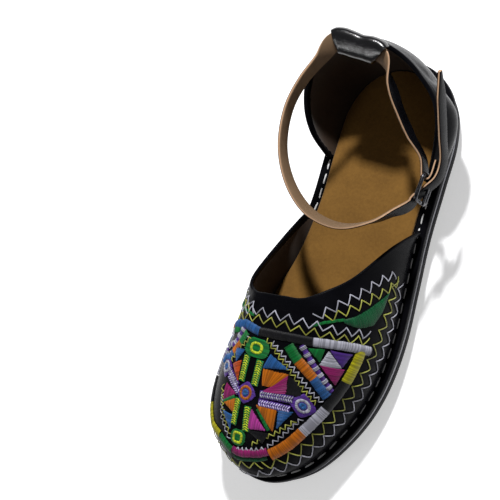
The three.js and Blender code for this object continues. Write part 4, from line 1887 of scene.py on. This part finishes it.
    corner_bars: tuple[tuple[Dye, Path], ...] = (
        (Dye.GREEN, ((6.5, 176.5), (13, 182.2))),
        (Dye.ORANGE, ((13.3, 182.4), (22.2, 188))),
        (Dye.BLUE, ((22.5, 188.3), (29.3, 194.7))),
    )
    corner_patches: tuple[tuple[Dye, Path], ...] = (
        (Dye.GREEN, ((16.7, 174.4), (24.6, 171.8), (23.4, 178.9))),
        (Dye.WHITE, ((26.7, 172.1), (23.7, 180.3), (33.3, 178))),
        (Dye.PURPLE, ((33.6, 177.5), (27.3, 171.5), (36.2, 169.4))),
        (Dye.MAGENTA, ((31.9, 187.5), (24.1, 180.6), (34.5, 178.5))),
    )
    rosettes: tuple[Rosette, ...] = (
        Rosette((-11.5, 183), (8, 5, 3), Dye.GREEN, (4.4, 3.3, 2.5), Dye.LIME),
        Rosette((-11.5, 207.5), (6.4, 5.8, 1.3), Dye.PURPLE, (4.2, 4.2, 2), Dye.ORANGE, Dye.BLUE),
        Rosette((-11, 231.5), (5, 4, 2.5), Dye.GREEN, (3.4, 3.2, 4), Dye.LIME),
        Rosette((19.9, 204), (6.2, 6.2, 1.2), Dye.PURPLE, (3.8, 3.8, 2), Dye.WHITE, Dye.BLUE),
        Rosette((-31.5, 197), (5.8, 5.8, 1.2), Dye.PURPLE, (3.6, 3.6, 2), Dye.WHITE, Dye.BLUE, level=False),
    )
    pad_strands: int = 20
    pad_share: float = 0.96
    rim_start: float = 0.55
    rim_turns: int = 44
    eye_start: float = 0.05
    eye_share: float = 0.5
    eye_turns: int = 22
    eye_height: float = 1.15
    braid: Path = ((13.2, 174.1), (30.8, 191.3))
    braid_width: float = 2.6
    braid_knot: float = 4.4
    knot_width: float = 3.4
    knot_pitch: float = 0.42
    knot_steps: int = 6
    leaf_stem: Path = ((0.258, 69.4), (0.22, 62.1), (0.19, 54.3), (0.175, 49.1))
    leaf_upper: Path = ((0.177, 49.8), (0.143, 38.4), (0.112, 28.4), (0.088, 19.3))
    leaf_lower: Path = ((0.177, 48.0), (0.158, 35.8), (0.138, 26.2), (0.115, 21.8), (0.088, 19.3))

    def over(self, line: Path) -> Path:
        """A plan line carried over to the inner half of the pattern."""
        return tuple((self.axis - self.narrowing * (x - self.axis), t) for x, t in line)

    def across(self, line: Path) -> Path:
        """An edge line carried over to the inner wing, its heights drawn in to that wing's own.

        Args:
            line: Line as (across, height or depth).

        Returns:
            The line on the other wing.
        """
        places = np.array([a for a, _ in line])
        here = self.chart.columns(places)[1][:, -1]
        there = self.chart.columns(1.0 - places)[1][:, -1]
        return tuple((1.0 - a, h * k) for (a, h), k in zip(line, there / here))

    def build_bars(self) -> Needle:
        """Padded bars that frame the pattern.

        Returns:
            The needle with its stitches.
        """
        needle = Needle(self.chart, 1)
        for dye, line in self.top_bars:
            needle.bar(self.chart.from_plan(line), self.top_width, dye)
        for dye, width, line in self.edge_bars:
            needle.bar(self.chart.from_foot(line), width, dye, 1.0)
        self.toe_row.sew(needle, self.chart.from_foot(self.toe_row.line))
        needle.bar(self.chart.from_foot(self.toe_band), self.toe_band_width, Dye.FOREST, 0.5)
        return needle

    def build_rows(self) -> Needle:
        """Large zigzag rows along the throat, the wings and the feather edge.

        Returns:
            The needle with its stitches.
        """
        needle = Needle(self.chart, 2)
        for row in self.throat_rows:
            row.sew(needle, self.chart.from_plan(row.line))
        for row in self.wing_rows:
            for line in (row.line, self.across(row.line)):
                row.sew(needle, self.chart.from_top(line))
        for row in self.edge_rows:
            row.sew(needle, self.chart.from_foot(row.line))
        return needle

    def build_diamond(self) -> Needle:
        """Small zigzags of the diamond and the chains of its cross.

        Returns:
            The needle with its stitches.
        """
        needle = Needle(self.chart, 3)
        for dye, line in self.diamond_rows:
            needle.zigzag(self.chart.from_plan(line), self.fine_pitch, self.fine_swing, dye, self.fine_radius)
        for dye, ground, line in self.chains:
            needle.bar(self.chart.from_plan(line), self.chain_ground, ground, 0.3)
            needle.chain(self.chart.from_plan(line), self.chain_width, self.chain_pitch, dye)
        return needle

    def build_patches(self) -> Needle:
        """Satin patches between the arms of the cross, and the corner pieces.

        Returns:
            The needle with its stitches.
        """
        needle = Needle(self.chart, 4)
        for dye, line in self.patches:
            needle.patch(line, dye)
        for dye, width, line in self.slips:
            needle.bar(self.chart.from_plan(line), width, dye, 0.4)
        sides = (
            (tuple, self.corner_width, len(self.corner_patches)),
            (self.over, self.inner_corner_width, self.inner_corner_patches),
        )
        for turn, width, count in sides:
            for dye, line in self.corner_bars:
                needle.bar(self.chart.from_plan(turn(line)), width, dye, 0.7)
            for dye, line in self.corner_patches[:count]:
                needle.patch(turn(line), dye)
            self.plait(needle, self.chart.from_plan(turn(self.braid)))
        return needle

    def plait(self, needle: Needle, line: np.ndarray) -> None:
        """Knotted braid of two colours along a line.

        Args:
            needle: The needle that lays it.
            line: Middle of the braid.
        """
        needle.bar(line, self.braid_width, Dye.PURPLE, 0.7)
        count = max(round(arc_of(line)[-1] / self.braid_knot), 2)
        dense = even(line, count * self.knot_steps + 1)
        for start in range(1, count * self.knot_steps, self.knot_steps):
            needle.bar(dense[start:start + 3], self.knot_width, Dye.WHITE, 1.0, self.knot_pitch)

    def build_rosettes(self) -> Needle:
        """Round and square knots at the middle and the ends of the cross.

        Returns:
            The needle with its stitches.
        """
        needle = Needle(self.chart, 5)
        for knot in self.rosettes:
            self.lay_rosette(needle, knot)
        return needle

    def lay_rosette(self, needle: Needle, knot: Rosette) -> None:
        """A pad of satin with a ring of stitches on it, drawn in plan or on the slope of the leather.

        Args:
            needle: The needle that lays it.
            knot: Its sizes and colours.
        """
        lay = self.in_plan(knot.centre) if knot.level else self.on_slope(knot.centre)
        pad = outline_of(*knot.pad)
        rim = outline_of(*knot.rim)
        rising = pad[np.argsort(pad[:, 1])]
        half = rising[rising[:, 0] > 0.0]
        lowest, highest = pad[:, 1].min() * self.pad_share, pad[:, 1].max() * self.pad_share
        heights = np.linspace(lowest, highest, self.pad_strands)
        reach = np.interp(heights, half[:, 1], half[:, 0])
        first = lay(np.stack([-reach, heights], -1))
        second = lay(np.stack([reach, heights], -1))
        needle.satin(first, second, knot.pad_dye, 0.35)
        needle.ring(lay, self.rim_start, rim, knot.rim_dye, self.rim_turns)
        if knot.eye:
            eye = rim * self.eye_share
            needle.ring(lay, self.eye_start, eye, knot.eye, self.eye_turns, self.eye_height)

    def in_plan(self, centre: tuple[float, float]) -> Lay:
        """Way of laying offsets (x, t) round a centre as they are seen in plan."""
        return lambda offsets: self.chart.drop(np.array(centre, float) + offsets)

    def on_slope(self, centre: tuple[float, float]) -> Lay:
        """Way of laying offsets round a centre along the leather itself.

        Args:
            centre: Middle in plan.

        Returns:
            Turns offsets (across, towards the toe) into points.
        """
        spot, normal = self.chart.cling(self.chart.drop(np.array([centre], float)))
        ahead = np.array([0.0, -1.0, 0.0])
        along = unit(ahead - normal[0] * (normal[0] @ ahead))
        axes = np.stack([np.cross(along, normal[0]), along])
        return lambda offsets: spot[0] + offsets @ axes

    def build_leaves(self) -> Needle:
        """Long leaves that run out along the wings.

        Returns:
            The needle with its stitches.
        """
        needle = Needle(self.chart, 6)
        for turn in (tuple, self.across):
            needle.bar(self.chart.from_foot(turn(self.leaf_stem)), self.stem_width, Dye.GREEN, 0.5)
            upper = self.chart.from_foot(turn(self.leaf_upper))
            lower = self.chart.from_foot(turn(self.leaf_lower))
            needle.satin(upper, lower, Dye.FOREST, 0.8)
        return needle

    def dress(self) -> list[Piece]:
        """Sews the pattern in groups, each with its threads.

        Returns:
            The pieces.
        """
        groups = {
            "frame_bars": self.build_bars(),
            "zigzag_rows": self.build_rows(),
            "diamond_cross": self.build_diamond(),
            "satin_patches": self.build_patches(),
            "rosettes": self.build_rosettes(),
            "wing_leaves": self.build_leaves(),
        }
        return [Piece(name, needle.shape, needle.finishes(), "thread", turn_faces=False, crease_deg=70.0)
                for name, needle in groups.items()]


@dataclass
class Studio:
    """Pale floor, soft light and the camera at the photograph's angle."""

    azimuth_deg: float = 80.0
    elevation_deg: float = 64.0
    roll_deg: float = -60.92
    distance: float = 1354.0
    aim_right: float = -58.5
    aim_up: float = 15.55
    focal_pixels: float = 2397.6
    picture: float = 500.0
    sensor: float = 36.0
    key_from: tuple[float, float, float] = (-0.05, 0.56, 0.83)
    key_watts: float = 28.0
    key_size: float = 0.1
    fill_from: tuple[float, float, float] = (-0.37, -0.66, 0.66)
    fill_watts: float = 1.6
    fill_size: float = 0.28
    lamp_distance: float = 1.5
    sky: float = 0.12
    clip_near: float = 0.05
    clip_far: float = 50.0
    floor_half: float = 6.0
    floor_glow: float = 0.5
    floor_drop: float = 0.0005

    def camera_axes(self) -> np.ndarray:
        """Right, up and backward directions of the camera, as columns.

        Returns:
            A matrix of the three directions.
        """
        a, e, r = np.radians([self.azimuth_deg, self.elevation_deg, self.roll_deg])
        back = np.array([np.sin(a) * np.cos(e), -np.cos(a) * np.cos(e), np.sin(e)])
        right = unit(np.cross(np.array([0.0, 0.0, 1.0]), back))
        up = np.cross(back, right)
        return np.stack([np.cos(r) * right + np.sin(r) * up, np.cos(r) * up - np.sin(r) * right, back], -1)

    def set_camera(self) -> None:
        """Makes the scene's camera."""
        axes = self.camera_axes()
        where = LAST.to_frame(axes @ np.array([self.aim_right, self.aim_up, self.distance]))
        data = bpy.data.cameras.new("photo_camera")
        data.sensor_width = self.sensor
        data.lens = self.focal_pixels / self.picture * self.sensor
        data.clip_start = self.clip_near
        data.clip_end = self.clip_far
        camera = bpy.data.objects.new("photo_camera", data)
        bpy.context.scene.collection.objects.link(camera)
        camera.matrix_world = Matrix.Translation(where.tolist()) @ Matrix(axes.tolist()).to_4x4()
        bpy.context.scene.camera = camera

    def lamp(self, name: str, direction: tuple[float, float, float], watts: float, size: float) -> None:
        """Hangs a square soft light that faces the shoe.

        Args:
            name: Name of the light.
            direction: Where it hangs, seen from the shoe.
            watts: Its power.
            size: Length of its sides, in metres.
        """
        data = bpy.data.lights.new(name, "AREA")
        data.energy = watts
        data.size = size
        towards = Vector(direction).normalized()
        made = bpy.data.objects.new(name, data)
        bpy.context.scene.collection.objects.link(made)
        made.location = towards * self.lamp_distance
        made.rotation_mode = "QUATERNION"
        made.rotation_quaternion = towards.to_track_quat("Z", "Y")

    def lay_floor(self) -> bpy.types.Object:
        """Lays the pale floor.

        Returns:
            The floor.
        """
        shader = Shader("studio_floor")
        cloud = shader.noise(6.0, 2.0)
        material = shader.finish({
            "Base Color": shader.blend(cloud, (0.86, 0.86, 0.87, 1.0), (0.84, 0.84, 0.85, 1.0)),
            "Roughness": 0.85,
            "Specular IOR Level": 0.1,
            "Emission Color": (1.0, 1.0, 1.0, 1.0),
            "Emission Strength": self.floor_glow,
        })
        mesh = bpy.data.meshes.new("studio_floor")
        grid = bmesh.new()
        bmesh.ops.create_grid(grid, x_segments=8, y_segments=8, size=self.floor_half)
        grid.to_mesh(mesh)
        grid.free()
        mesh.materials.append(material)
        floor = bpy.data.objects.new("studio_floor", mesh)
        floor.location.z = -self.floor_drop
        bpy.context.scene.collection.objects.link(floor)
        return floor

    def set_up(self) -> None:
        """Makes floor, lights, sky and camera."""
        self.lay_floor()
        self.lamp("key_light", self.key_from, self.key_watts, self.key_size)
        self.lamp("fill_light", self.fill_from, self.fill_watts, self.fill_size)
        world = bpy.data.worlds.new("studio_sky")
        world.use_nodes = True
        sky = world.node_tree.nodes["Background"]
        sky.inputs["Color"].default_value = (1.0, 1.0, 1.0, 1.0)
        sky.inputs["Strength"].default_value = self.sky
        scene = bpy.context.scene
        scene.world = world
        scene.view_settings.view_transform = "Standard"
        self.set_camera()


def main() -> None:
    """Builds the studio and every sub-assembly, and reports each piece."""
    logging.basicConfig(level=logging.INFO, format="%(name)s: %(message)s")
    studio = Studio()
    studio.set_up()
    sight = studio.camera_axes()[:, 2]
    vamp_chart = Chart(VAMP_SKIN, sight)
    counter_chart = Chart(COUNTER_SKIN, sight)
    assemblies: list[SubAssembly] = [
        SoleUnit(), Vamp(vamp_chart), HeelCounter(counter_chart), AnkleStrap(), Buckle(),
        Embroidery(vamp_chart),
    ]
    for assembly in assemblies:
        for piece in assembly.dress():
            made = piece.fit()
            log.info("%s: %s, %d faces", type(assembly).__name__, made.name, len(made.data.polygons))


if __name__ == "__main__":
    main()
